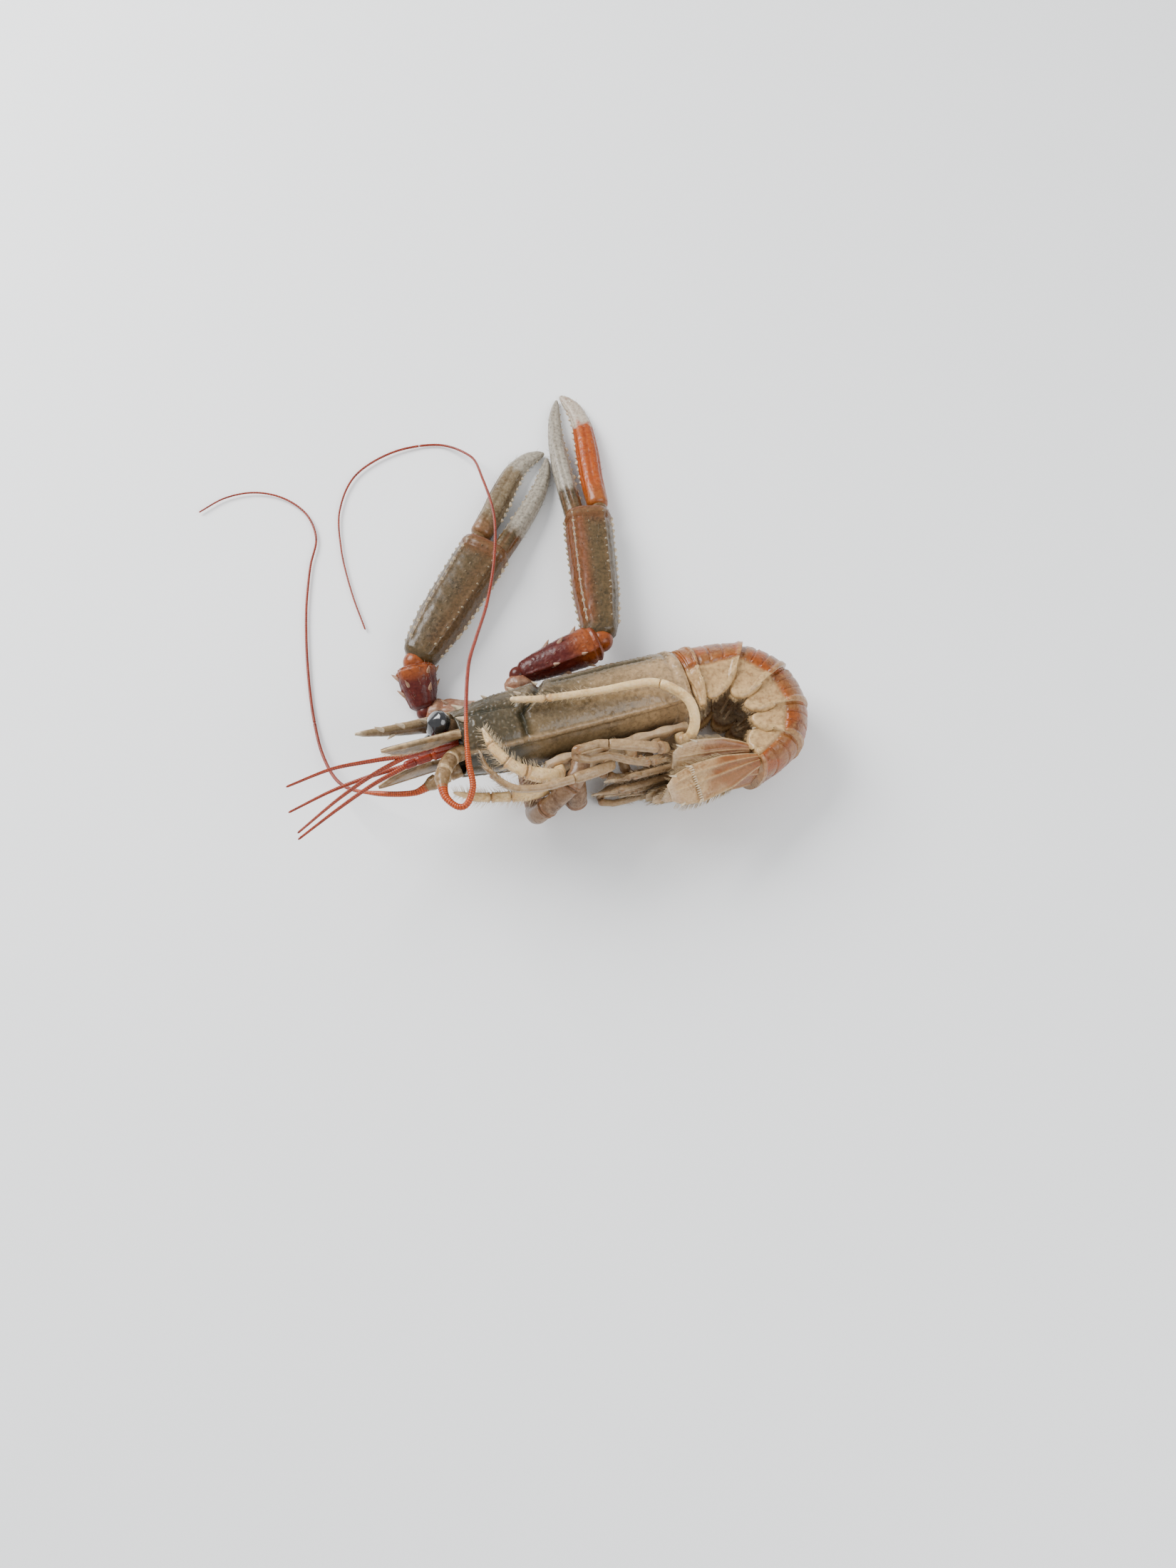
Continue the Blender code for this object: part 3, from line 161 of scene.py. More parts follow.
def path_tangent(points, i):
    """The direction and pace of a smooth line at one of its points, ruled by the nearer neighbour."""
    if i == 0:
        return points[1] - points[0]
    if i == len(points) - 1:
        return points[-1] - points[-2]
    before = points[i] - points[i - 1]
    after = points[i + 1] - points[i]
    reach, onward = np.linalg.norm(before), np.linalg.norm(after)
    return unit(before / reach * onward + after / onward * reach) * min(reach, onward)


def smooth_path(points, steps):
    """A smooth line through points, with the given steps for each stretch."""
    points = [np.asarray(p, float) for p in points]
    line = []
    for i in range(len(points) - 1):
        t = np.arange(steps)[:, None] / steps
        leave, arrive = path_tangent(points, i), path_tangent(points, i + 1)
        line.append(
            points[i] * (2 * t ** 3 - 3 * t ** 2 + 1) + leave * (t ** 3 - 2 * t ** 2 + t)
            + points[i + 1] * (3 * t ** 2 - 2 * t ** 3) + arrive * (t ** 3 - t ** 2))
    return np.vstack([*line, points[-1][None]])


def line_length(line):
    """The length of a line."""
    return float(np.linalg.norm(np.diff(line, axis=0), axis=1).sum())


def line_shares(line):
    """How far along a line each of its points is, from 0 to 1."""
    walked = np.concatenate([[0.0], np.cumsum(np.linalg.norm(np.diff(line, axis=0), axis=1))])
    return walked / walked[-1]


def along_line(line, shares):
    """Points at shares of a line's length."""
    walked = line_shares(line)
    return np.stack([np.interp(shares, walked, column) for column in line.T], axis=-1)


def stations(count):
    """Shares from 0 to 1 that crowd towards both ends."""
    t = np.linspace(0.0, 1.0, count)
    return t - 0.13 * np.sin(math.tau * t)


def domed(shares, length, start, end):
    """A factor that rounds off a tube's ends over the given lengths in millimetres; 0 leaves one square."""
    factor = np.ones_like(shares)
    for walked, reach in ((shares * length, start), ((1 - shares) * length, end)):
        if reach:
            factor = factor * np.sqrt(np.maximum(1 - (1 - np.clip(walked / reach, 0, 1)) ** 2, 0.01))
    return factor


def outward(points):
    """The directions out of a closed tube of rows of points."""
    along = np.gradient(points, axis=0)
    around = np.roll(points, -1, axis=1) - np.roll(points, 1, axis=1)
    normal = unit(np.cross(along, around))
    spread = points - points.mean(axis=1, keepdims=True)
    return normal * (1.0 if (spread * normal).sum(axis=-1).mean() > 0 else -1.0)


def relief(points, scale, seed):
    """A smooth random field from about -1 to 1 at plan points, with features of the given size."""
    flat = points.reshape(-1, 3) / scale + seed * 7.3
    return np.array([noise.noise(Vector(p)) for p in flat]).reshape(points.shape[:-1]) * 1.6


def add_object(name, data):
    """A new object of the scene."""
    item = bpy.data.objects.new(name, data)
    bpy.context.scene.collection.objects.link(item)
    return item


class Sweep:
    """A tube along a line: its sections' centres, sides and ups, and half sizes."""

    def __init__(self, line, flat, half_width, half_height, power=2.0):
        self.line = line
        self.shares = line_shares(line)
        self.ahead = unit(np.gradient(line, axis=0))
        self.side = np.zeros(line.shape)
        side = np.cross(self.ahead[0], flat)
        for i, ahead in enumerate(self.ahead):
            side = unit(side - ahead * side.dot(ahead))
            self.side[i] = side
        self.up = np.cross(self.side, self.ahead)
        self.half_width = np.broadcast_to(half_width, len(line))
        self.half_height = np.broadcast_to(half_height, len(line))
        self.power = power

    def skin(self, rows, angle):
        """Points of the skin at rows and angles, and the ways out of it there."""
        c, s = np.cos(angle), np.sin(angle)
        side, up = self.side[rows], self.up[rows]
        width, height = self.half_width[rows], self.half_height[rows]
        x, y = squared(c, self.power) * width, squared(s, self.power) * height
        out = unit(side * (c / width)[..., None] + up * (s / height)[..., None])
        return self.line[rows] + side * x[..., None] + up * y[..., None], out

    def grid(self, around):
        """The whole skin as rows of points, with each point's way out and angle."""
        angle = math.tau * (np.arange(around) + 0.5) / around
        points, out = self.skin(np.arange(len(self.line))[:, None], angle)
        return points, out, np.broadcast_to(angle, points.shape[:2])

    def at(self, share, degrees):
        """A point of the skin, the way out of it, and the way ahead."""
        i = int(np.argmin(np.abs(self.shares - share)))
        return *self.skin(i, math.radians(degrees)), self.ahead[i]


class Shape:
    """The points, faces and painted marks of one piece, gathered before its mesh is made."""

    def __init__(self):
        self.points = []
        self.faces = []
        self.marks = {name: [] for name in MARKS}
        self.count = 0

    def grid(self, points, **marks):
        """Add a tube of rows of points with a flat cap at each end, and its marks."""
        rows, columns = points.shape[:2]
        index = self.count + np.arange(rows * columns).reshape(rows, columns)
        following = np.roll(index, -1, axis=1)
        quads = np.stack([index[:-1], following[:-1], following[1:], index[1:]], axis=-1).reshape(-1, 4)
        self.faces.extend([*quads.tolist(), index[0, ::-1].tolist(), index[-1].tolist()])
        self.points.append(points.reshape(-1, 3))
        for name in MARKS:
            self.marks[name].append(np.broadcast_to(marks.get(name, 0.0), (rows, columns)).reshape(-1))
        self.count += rows * columns

    def spike(self, root, direction, length, radius, blunt=0.0, sides=14, rows=9, lean=0.0, sunk=0.4,
              **marks):
        """Add a spine, or a rounded tubercle where blunt is above zero; lean bends its end."""
        direction = unit(direction)
        across = unit(np.cross(direction, UPWARD + 0.3 * FORWARD))
        other = np.cross(direction, across)
        t = np.linspace(0.0, 1.0, rows)[:, None]
        if blunt:
            width = radius * (1 - t ** 2.6 * (1 - blunt)) * np.sqrt(np.maximum(1 - t ** 3 * 0.9, 0.0))
        else:
            width = radius * (1 - t) ** 0.8 + 0.01
        centre = root + direction * (t * (length + sunk) - sunk) + t ** 2 * lean
        angle = math.tau * np.arange(sides) / sides
        ring = np.cos(angle)[:, None] * across + np.sin(angle)[:, None] * other
        self.grid(centre[:, None] + ring[None] * width[..., None], **marks)

    def hair(self, root, direction, length, radius=0.035, lean=0.0, **marks):
        """Add one bristle."""
        self.spike(root, direction, length, radius, sides=3, rows=4, lean=lean, sunk=0.1, **marks)

    def finish(self, node, slot, material):
        """Make the piece: it rides on the body and stands for its node."""
        name = node + "_detail"
        mesh = bpy.data.meshes.new(name)
        places = (np.vstack(self.points) - PLAN_CENTRE) * MM
        places[:, 2] = np.maximum(places[:, 2], 0.0)
        mesh.from_pydata(places.tolist(), [], self.faces)
        for mark, values in self.marks.items():
            attribute = mesh.attributes.new(mark, "FLOAT", "POINT")
            attribute.data.foreach_set("value", np.concatenate(values).astype(np.float32))
        work = bmesh.new()
        work.from_mesh(mesh)
        bmesh.ops.recalc_face_normals(work, faces=work.faces)
        work.to_mesh(mesh)
        work.free()
        mesh.shade_smooth()
        mesh.materials.append(MATERIALS[material])
        piece = add_object(name, mesh)
        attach(piece, "root")
        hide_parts(node)


# Materials, with colours in linear light

CREAM = (0.60, 0.42, 0.22)
IVORY = (0.72, 0.58, 0.40)
ORANGE = (0.60, 0.13, 0.012)
RUST = (0.22, 0.055, 0.012)
DARK_RED = (0.045, 0.003, 0.002)
OLIVE = (0.030, 0.026, 0.012)
BROWN = (0.060, 0.028, 0.010)
GREY_CREAM = (0.34, 0.30, 0.235)
COAT_ROUGHNESS = 0.10
SHELL_SPECULAR = 0.30
WORN_SHADE = 0.66

# Sizes in millimetres
GRAIN = 0.28
SPECK_SPACING = 0.55
BUMP_DEPTH = 0.15


def add_node(tree, kind, inputs, **settings):
    """A shader node with its settings, and values or links for its inputs."""
    item = tree.nodes.new("ShaderNode" + kind)
    for key, value in settings.items():
        setattr(item, key, value)
    for key, value in inputs.items():
        if isinstance(value, bpy.types.NodeSocket):
            tree.links.new(value, item.inputs[key])
        else:
            item.inputs[key].default_value = value
    return item


def mottle(tree, place, size, detail):
    """Noise with blotches of about the given size in millimetres."""
    inputs = {"Vector": place, "Scale": 1.0 / (size * MM), "Detail": detail, "Roughness": 0.6}
    return add_node(tree, "TexNoise", inputs).outputs[0]


def between(tree, value, low, high, start=0.0, end=1.0):
    """A value from low to high made to run from start to end."""
    inputs = {"Value": value, 1: low, 2: high, 3: start, 4: end}
    return add_node(tree, "MapRange", inputs).outputs[0]


def times(tree, first, second):
    """The product of two values."""
    return add_node(tree, "Math", {0: first, 1: second}, operation="MULTIPLY").outputs[0]


def mix(tree, factor, first, second):
    """A colour between two colours."""
    first, second = [(*c, 1.0) if isinstance(c, tuple) else c for c in (first, second)]
    return add_node(tree, "Mix", {0: factor, 6: first, 7: second}, data_type="RGBA").outputs[2]


def new_material(name):
    """A material, with its node tree, its shader and the place on the object."""
    material = bpy.data.materials.new(name)
    material.use_nodes = True
    tree = material.node_tree
    place = add_node(tree, "TexCoord", {}).outputs["Object"]
    return material, tree, tree.nodes["Principled BSDF"], place


def shell_material(name, tones, rim=CREAM, knob=IVORY, tip=IVORY, stain=ORANGE, speck=BROWN, specks=0.5,
                   patch=6.0, gloss=(0.22, 0.42), bump=0.12, wet=0.10, flesh=0.10):
    """Wet shell: three tones in blotches, small specks, and a paint for each of the marks."""
    material, tree, shader, place = new_material(name)
    broad = mottle(tree, place, patch, 5.0)
    close = mottle(tree, place, patch * 0.16, 6.0)
    fine = mottle(tree, place, GRAIN, 3.0)
    dark, middle, light = tones
    colour = mix(tree, between(tree, broad, 0.36, 0.52), dark, middle)
    colour = mix(tree, times(tree, between(tree, close, 0.44, 0.68), 0.85), colour, light)
    cell_inputs = {"Vector": place, "Scale": 1.0 / (SPECK_SPACING * MM)}
    cells = add_node(tree, "TexVoronoi", cell_inputs).outputs["Distance"]
    strength = between(tree, close, 0.42, 0.62, 0.0, specks)
    colour = mix(tree, times(tree, between(tree, cells, 0.20, 0.34, 1.0, 0.0), strength), colour, speck)
    for mark, paint in (("stain", stain), ("rim", rim), ("knob", knob), ("tip", tip)):
        amount = add_node(tree, "Attribute", {}, attribute_name=mark).outputs["Fac"]
        shade = tuple(value * WORN_SHADE for value in paint)
        worn = mix(tree, between(tree, close, 0.38, 0.66), shade, paint)
        colour = mix(tree, times(tree, amount, between(tree, close, 0.3, 0.5, 0.72, 1.0)), colour, worn)
    tree.links.new(colour, shader.inputs["Base Color"])
    tree.links.new(between(tree, close, 0.3, 0.7, *gloss), shader.inputs["Roughness"])
    grain = add_node(tree, "Math", {0: fine, 1: times(tree, cells, 0.5)}, operation="ADD").outputs[0]
    skin = add_node(tree, "Bump", {"Height": grain, "Strength": bump, "Distance": BUMP_DEPTH * MM})
    tree.links.new(skin.outputs[0], shader.inputs["Normal"])
    shader.inputs["Specular IOR Level"].default_value = SHELL_SPECULAR
    shader.inputs["Coat Weight"].default_value = wet
    shader.inputs["Coat Roughness"].default_value = COAT_ROUGHNESS
    shader.inputs["Subsurface Weight"].default_value = flesh
    shader.inputs["Subsurface Radius"].default_value = (1.0, 0.5, 0.3)
    shader.inputs["Subsurface Scale"].default_value = 1.0 * MM
    return material


# What each kind of surface has in place of the usual values
SHELLS = {
    "carapace_shell": dict(
        tones=((0.085, 0.054, 0.023), (0.155, 0.103, 0.048), (0.25, 0.17, 0.088)),
        # Its stain paint is the shell's olive colour, and also painted shade in the grooves.
        stain=OLIVE, rim=(0.44, 0.285, 0.145), knob=(0.34, 0.25, 0.15)),
    # tail_shell's tip paint is painted light: it brightens the inside of the side plates, the belly and the
    # swimmerets, which lie in shade in the hollow of the curled tail.
    "tail_shell": dict(
        tones=((0.12, 0.032, 0.007), (0.20, 0.072, 0.018), (0.30, 0.135, 0.045)),
        rim=(0.54, 0.345, 0.155), stain=(0.28, 0.060, 0.004), tip=(0.78, 0.62, 0.42)),
    "tail_fan": dict(
        tones=((0.27, 0.14, 0.055), (0.40, 0.24, 0.105), (0.50, 0.33, 0.165)),
        rim=(0.54, 0.38, 0.20), stain=(0.25, 0.080, 0.018), speck=(0.50, 0.33, 0.18), patch=3.5),
    "pale_limb": dict(
        tones=((0.50, 0.31, 0.125), (0.68, 0.46, 0.215), (0.78, 0.58, 0.31)),
        rim=(0.26, 0.125, 0.048), stain=(0.46, 0.20, 0.065), specks=0.25, flesh=0.18),
    # A darker copy of pale_limb for the legs that lie under the body: painted shade.
    "painted_shade_limb": dict(
        tones=((0.17, 0.098, 0.042), (0.28, 0.175, 0.085), (0.40, 0.27, 0.145)),
        rim=(0.14, 0.065, 0.026), stain=(0.28, 0.11, 0.034), specks=0.3),
    "pale_belly": dict(
        tones=((0.36, 0.23, 0.12), (0.48, 0.33, 0.19), (0.58, 0.44, 0.28)), specks=0.2, flesh=0.2),
    "claw_base": dict(
        tones=((0.11, 0.055, 0.025), (0.18, 0.100, 0.050), (0.27, 0.170, 0.100)),
        rim=(0.20, 0.10, 0.045), stain=(0.20, 0.06, 0.015), specks=0.3),
    "claw_merus": dict(
        tones=((0.19, 0.095, 0.058), (0.28, 0.16, 0.105), (0.38, 0.25, 0.175)),
        stain=RUST, rim=(0.34, 0.20, 0.12), specks=0.4),
    "claw_carpus": dict(
        tones=(DARK_RED, (0.060, 0.004, 0.002), (0.095, 0.010, 0.003)),
        rim=(0.10, 0.012, 0.003), stain=(0.27, 0.060, 0.008), speck=(0.02, 0.003, 0.002), wet=0.04),
    "claw_palm": dict(
        tones=((0.034, 0.022, 0.008), (0.060, 0.038, 0.014), (0.105, 0.064, 0.025)), patch=4.5,
        rim=(0.15, 0.080, 0.030), knob=(0.52, 0.40, 0.25), stain=(0.150, 0.042, 0.008), tip=GREY_CREAM),
    "claw_finger": dict(
        tones=((0.20, 0.026, 0.001), (0.29, 0.048, 0.002), (0.37, 0.085, 0.008)), patch=4.5,
        rim=(0.28, 0.090, 0.018), stain=(0.16, 0.020, 0.002), tip=(0.48, 0.42, 0.33)),
    "pale_claw_finger": dict(
        tones=((0.090, 0.055, 0.022), (0.15, 0.105, 0.055), (0.23, 0.18, 0.11)), patch=4.5,
        rim=(0.19, 0.070, 0.018), stain=(0.075, 0.042, 0.017), tip=GREY_CREAM),
    "feeler_red": dict(
        tones=((0.12, 0.008, 0.004), (0.21, 0.020, 0.008), (0.30, 0.045, 0.014)),
        rim=(0.07, 0.006, 0.003), stain=(0.50, 0.080, 0.008), specks=0.2, patch=3.0),
    "head_limb": dict(
        tones=((0.12, 0.065, 0.024), (0.20, 0.120, 0.052), (0.31, 0.205, 0.105)), stain=OLIVE),
    "eye_black": dict(
        tones=((0.004, 0.004, 0.005), (0.008, 0.008, 0.009), (0.016, 0.015, 0.015)),
        knob=(0.24, 0.15, 0.08), specks=0.0, gloss=(0.06, 0.14), bump=0.05, wet=0.9, flesh=0.0),
}
MATERIALS = {name: shell_material(name, **look) for name, look in SHELLS.items()}


# Carapace

CERVICAL_GROOVE = 3.0
ROSTRUM_TIP = 43.0
ROSTRUM_START = CARAPACE_FRONT - 6.0
CARAPACE_POWER = 2.35
BACK_POWER = 2.1
BELLY_POWER = 3.2
CARAPACE_TABLE = (
    (0.00, 0.93, 0.94, 0.90), (0.06, 0.97, 0.98, 0.96), (0.30, 1.00, 1.00, 1.00), (0.60, 0.98, 1.00, 1.00),
    (0.80, 0.88, 0.95, 0.95), (0.93, 0.78, 0.86, 0.88), (1.00, 0.70, 0.78, 0.80))
CARAPACE_ROWS = 290
CARAPACE_COLUMNS = 280
ROSTRUM_TABLE = ((0.0, 2.9, 1.5), (0.3, 2.9, 1.4), (0.6, 1.9, 1.2), (0.95, 0.7, 0.6), (1.0, 0.2, 0.2))
ROSTRUM_TEETH = (0.44, 0.62, 0.79)
SHELL_MARGIN = -0.50

# Station, degrees from the left towards the back, length, radius and forward lean
CARAPACE_SPINES = (
    (21.0, 62, 2.1, 0.8, 1.2), (15.0, 66, 1.4, 0.6, 1.0), (9.0, 70, 1.4, 0.6, 1.0), (3.5, 74, 0.9, 0.45, 1.0),
    (21.6, 20, 2.1, 0.8, 1.6), (9.0, 34, 1.4, 0.6, 1.2), (21.0, -32, 0.9, 0.45, 1.4))

# The shell's turned-in edge: scale of each row, and its place ahead of the last one
LIP_ROWS = ((0.985, 0.22), (0.95, 0.28), (0.92, 0.1), (0.89, -1.4), (0.5, -1.9))
STERNUM_TABLE = ((0.0, 0.75), (0.03, 1.0), (0.4, 0.95), (0.84, 0.9), (0.96, 0.8), (1.0, 0.6))
STERNUM_REAR = -25.0
STERNUM_LENGTH = 32.2
STERNUM_HALF_WIDTH = 5.4
STERNUM_POWER = 5.0
STERNUM_RIDGES = 5.6


def carapace_station(share):
    """The place along the body of a share of the shell."""
    return CARAPACE_REAR + share * (CARAPACE_FRONT - CARAPACE_REAR)


def carapace_skin(share, angle):
    """The shell's plan points; share runs from rear to front, angle from the left round the back."""
    width, back, belly = eased(CARAPACE_TABLE, share)
    c, s = np.cos(angle), np.sin(angle)
    x = squared(c, CARAPACE_POWER) * CARAPACE_HALF_WIDTH * width * np.where(s >= 0, 1.0, 1.0 - 0.22 * s ** 2)
    above = squared(s, BACK_POWER) * CARAPACE_BACK * back
    below = squared(s, BELLY_POWER) * abs(CARAPACE_BELLY) * belly
    return body(carapace_station(share), x, np.where(s >= 0, above, below))


def carapace_angles(count):
    """Angles that space points evenly round the shell."""
    angle = np.linspace(0.0, math.tau, 2001)
    ring = carapace_skin(np.full_like(angle, 0.5), angle)
    return np.interp(np.arange(count) / count, line_shares(ring), angle)


def carapace_relief(share, angle, skin):
    """The shell's grooves, keels, rims and grains, in millimetres, and its marks."""
    station, s = carapace_station(share), np.sin(angle)
    groove_at = CERVICAL_GROOVE + 7.0 * (1 - np.maximum(s, 0.0)) ** 1.5
    behind = groove_at - station
    cervical = hump(behind, 0, 1.0) * ramp(s, -0.7, -0.4)
    branchial = hump(s, 0.68, 0.045) * ramp(station, -24, -19) * ramp(behind, 1.0, 5.0)
    hepatic = hump(s, 0.16 - 0.02 * behind, 0.05) * ramp(-behind, 1.0, 3.0)
    margin = hump(s, SHELL_MARGIN, 0.055)
    under = ramp(-s, 0.57, 0.66)
    rear = hump(station, CARAPACE_REAR + 1.0, 0.7)
    keel = hump(angle, math.pi / 2, 0.075)
    grains = np.maximum(relief(skin, 0.55, 2), 0.0) ** 2 * (1 - under)
    lift = -1.3 * cervical - 0.5 * branchial - 0.4 * hepatic + 0.35 * margin - 0.9 * under
    lift += 0.30 * rear - 0.28 * hump(station, CARAPACE_REAR + 2.5, 0.55) + 0.5 * keel
    lift += 0.16 * grains + 0.10 * relief(skin, 6.0, 3) + 0.18 * hump(behind, -1.9, 0.8) * ramp(s, -0.2, 0.2)
    blotch = ramp(relief(skin, 7.0, 4), -0.6, 0.6)
    front = ramp(station + 5.0 * relief(skin, 9.0, 8), -1, 13) * (0.72 + 0.22 * blotch)
    back = 0.65 * ramp(s + 0.10 * blotch, 0.25, 0.75) * (0.7 + 0.3 * blotch) * ramp(station, -26, -17)
    pale = 0.85 * (1 - ramp(station + 4.0 * relief(skin, 8.0, 9), -23, -2)) * (1 - ramp(s, 0.3, 0.7))
    marks = {
        "rim": np.clip(0.6 * margin + 0.7 * rear + 0.2 * keel + pale, 0, 1),
        "knob": 0.16 * np.clip(grains * 2.2, 0, 1),
        # Besides the olive blotches at the front and along the back, the stain darkens the cervical,
        # branchial and hepatic grooves: painted shade in the grooves.
        "stain": np.clip(np.maximum(front, back) + 0.55 * cervical + 0.35 * branchial + 0.2 * hepatic, 0, 1),
    }
    return lift, marks


def lipped(rows, direction):
    """Rows for the end of a shell: its edge turns in and runs back inside, so the shell has a thickness."""
    centre = rows[-1].mean(axis=0)
    lip = [centre + (rows[-1] - centre) * scale + direction * shift for scale, shift in LIP_ROWS]
    return np.concatenate([rows, np.array(lip)])


def make_carapace():
    """The shell over head and thorax with its grooves, spines and toothed beak."""
    shape = Shape()
    rows, angles = np.linspace(0, 1, CARAPACE_ROWS)[:, None], carapace_angles(CARAPACE_COLUMNS)[None]
    share, angle = np.broadcast_arrays(rows, angles)
    skin = carapace_skin(share, angle)
    lift, marks = carapace_relief(share, angle, skin)
    skin = lipped(skin + outward(skin) * lift[..., None], FORWARD)
    extra = len(skin) - len(lift)
    marks = {name: np.pad(value, ((0, extra), (0, 0)), "edge") for name, value in marks.items()}
    shape.grid(skin, **marks)
    for side in (LEFT, RIGHT):
        for station, degrees, length, radius, lean in CARAPACE_SPINES:
            turn = math.radians(degrees if side == LEFT else 180 - degrees)
            place = (station - CARAPACE_REAR) / (CARAPACE_FRONT - CARAPACE_REAR)
            root = carapace_skin(np.array(place), np.array(turn))
            out = unit(root - body(station, 0, 0))
            shape.spike(root - out * 0.1, out + FORWARD * lean, length, radius, tip=0.75)
    add_rostrum(shape)
    shape.finish("carapace", "carapace_shell", "carapace_shell")


def add_rostrum(shape):
    """The beak: a blade hollowed along the top between two toothed keels."""
    share = np.linspace(0, 1, 110)
    line = body(ROSTRUM_START + (ROSTRUM_TIP - ROSTRUM_START) * share, 0, 5.6 + 2.4 * share ** 2)
    width, height = eased(ROSTRUM_TABLE, share)
    sweep = Sweep(line, BACKWARD, width, height, 2.2)
    skin, out, angle = sweep.grid(around=60)
    along = share[:, None]
    keels = hump(np.cos(angle), 0.8, 0.22) + hump(np.cos(angle), -0.8, 0.22)
    top = np.sin(angle) > 0
    lift = np.where(top, 0.28 * keels - 0.5 * hump(angle, math.pi / 2, 0.5), 0.0) * (1 - 0.85 * along)
    lift = lift + 0.04 * relief(skin, 0.8, 5)
    shape.grid(skin + out * lift[..., None], rim=0.5 * keels * top, stain=0.35 * (1 - along),
               tip=0.7 * ramp(along, 0.9, 1.0))
    for place in ROSTRUM_TEETH:
        for degrees in (0, 180):
            root, away, ahead = sweep.at(place, degrees)
            shape.spike(root - away * 0.3, away * 0.75 + ahead + BACKWARD * 0.25, 2.0, 0.65, tip=0.7)
    root, away, ahead = sweep.at(0.7, -90)
    shape.spike(root, away * 0.7 + ahead, 1.6, 0.5, sides=12, rows=8, tip=0.7)


def make_sternum():
    """The narrow plate under the thorax, one ridge for each pair of legs."""
    shape = Shape()
    share = np.linspace(0, 1, 150)
    top = CARAPACE_BELLY - GAP
    line = body(STERNUM_REAR + STERNUM_LENGTH * share, 0, (top + STERNUM_BOTTOM) / 2)
    half_width = STERNUM_HALF_WIDTH * eased(STERNUM_TABLE, share)
    sweep = Sweep(line, BACKWARD, half_width, (top - STERNUM_BOTTOM) / 2, STERNUM_POWER)
    skin, out, angle = sweep.grid(around=90)
    ridges = np.cos(math.tau * share[:, None] * STERNUM_RIDGES)
    lift = 0.18 * ridges - 0.25 * hump(np.cos(angle), 0, 0.12) * (np.sin(angle) < 0)
    shape.grid(skin + out * lift[..., None], rim=np.clip(ridges, 0, 1) * 0.5)
    shape.finish("thorax_underside", "pale_underside", "pale_belly")


# Head

EYE_LENGTH = 5.6
EYE_TABLE = (
    (0.0, 1.5, 1.4), (0.25, 1.5, 1.4), (0.4, 2.5, 2.0), (0.62, 3.3, 2.7), (0.8, 3.0, 2.4), (0.93, 1.9, 1.5),
    (1.0, 0.8, 0.6))
ANTENNULE_TABLE = (
    (0.0, 1.1, 1.1), (0.42, 1.3, 1.2), (0.46, 0.85, 0.85), (0.50, 1.15, 1.05), (0.72, 1.05, 1.0),
    (0.75, 0.75, 0.75), (0.79, 1.0, 0.95), (1.0, 0.9, 0.9))
SCALE_TABLE = (
    (0.0, 1.2, 1.2, 0.9), (0.1, 2.2, 1.9, 0.7), (0.35, 3.4, 2.2, 0.6), (0.65, 3.2, 2.2, 0.6),
    (0.85, 1.6, 2.1, 0.5), (0.93, 0.0, 1.9, 0.4), (1.0, -1.1, 1.6, 0.25))
SCALE_LENGTH = 17.0
SCALE_HAIRS = 90
SCALE_SEED = 21
LASH_SIDES = 10
LASH_RADII = (0.55, 0.42, 0.25)
LASH_PITCH = 0.5
LASH_BRIGHT = (0.35, 0.2)

# How far each lash of an antennule spreads to its side, and drops
LASH_WAYS = ((1.0, -1.0), (-0.25, 1.4))


def make_eye(side):
    """A stalk with the large kidney-shaped eye on its end."""
    shape = Shape()
    share = stations(70)
    line = body(CARAPACE_FRONT + GAP + EYE_LENGTH * share, side * (3.4 + 2.94 * share), 3.0 + 0.84 * share)
    width, height = eased(EYE_TABLE, share)
    ends = domed(share, EYE_LENGTH, 0, 1.3)
    skin, out, _ = Sweep(line, BACKWARD, width * ends, height * ends).grid(around=72)
    along = share[:, None]
    collar = 0.2 * hump(along, 0.34, 0.04)
    shape.grid(skin + out * collar[..., None], knob=1 - ramp(along, 0.33, 0.4))
    shape.finish("eye_" + SIDE_NAMES[side], "eye", "eye_black")


def ringed(shape, line, radius, pitch, bright):
    """Add a lash of short rings, one to each pitch in millimetres; radius and brightness run along it."""
    length = line_length(line)
    share = np.linspace(0, 1, max(int(length / pitch * 4), 12))
    turn = np.cos(math.tau * share * length / pitch)
    size = np.interp(share, np.linspace(0, 1, len(radius)), radius) * (1 + 0.07 * turn)
    size = size * domed(share, length, 0, 0.6)
    glow = np.interp(share, np.linspace(0, 1, len(bright)), bright)
    skin, _, _ = Sweep(along_line(line, share), BACKWARD, size, size).grid(LASH_SIDES)
    shape.grid(skin, rim=0.75 * np.clip(-turn, 0, 1)[:, None], stain=glow[:, None])


def make_antennule(side):
    """The small feeler: a stem of three joints with two ringed lashes."""
    shape = Shape()
    front = CARAPACE_FRONT
    line = smooth_path(body_points(
        (front + GAP, side * 1.7, 0.2), (front + 6, side * 2.1, 0.0), (front + 12, side * 2.6, -0.6)), 40)
    share = line_shares(line)
    width, height = eased(ANTENNULE_TABLE, share, 0.008)
    ends = domed(share, line_length(line), 0, 0.8)
    skin, _, _ = Sweep(line, BACKWARD, width * ends, height * ends).grid(around=40)
    shape.grid(skin, stain=0.4 * hump(share, 0.46, 0.05)[:, None])
    for spread, drop in LASH_WAYS:
        lash = body_points(
            (front + 11, side * 2.6, -0.6), (front + 19, side * (2.9 + spread), -1.4 - drop),
            (front + 27, side * (3.2 + 2.4 * spread), -2.9 - 2.2 * drop),
            (front + 37, side * (2.8 + 4 * spread), -6.0 - 3.4 * drop))
        ringed(shape, smooth_path(lash, 30), LASH_RADII, LASH_PITCH, LASH_BRIGHT)
    shape.finish("antennule_" + SIDE_NAMES[side], "antennule", "feeler_red")


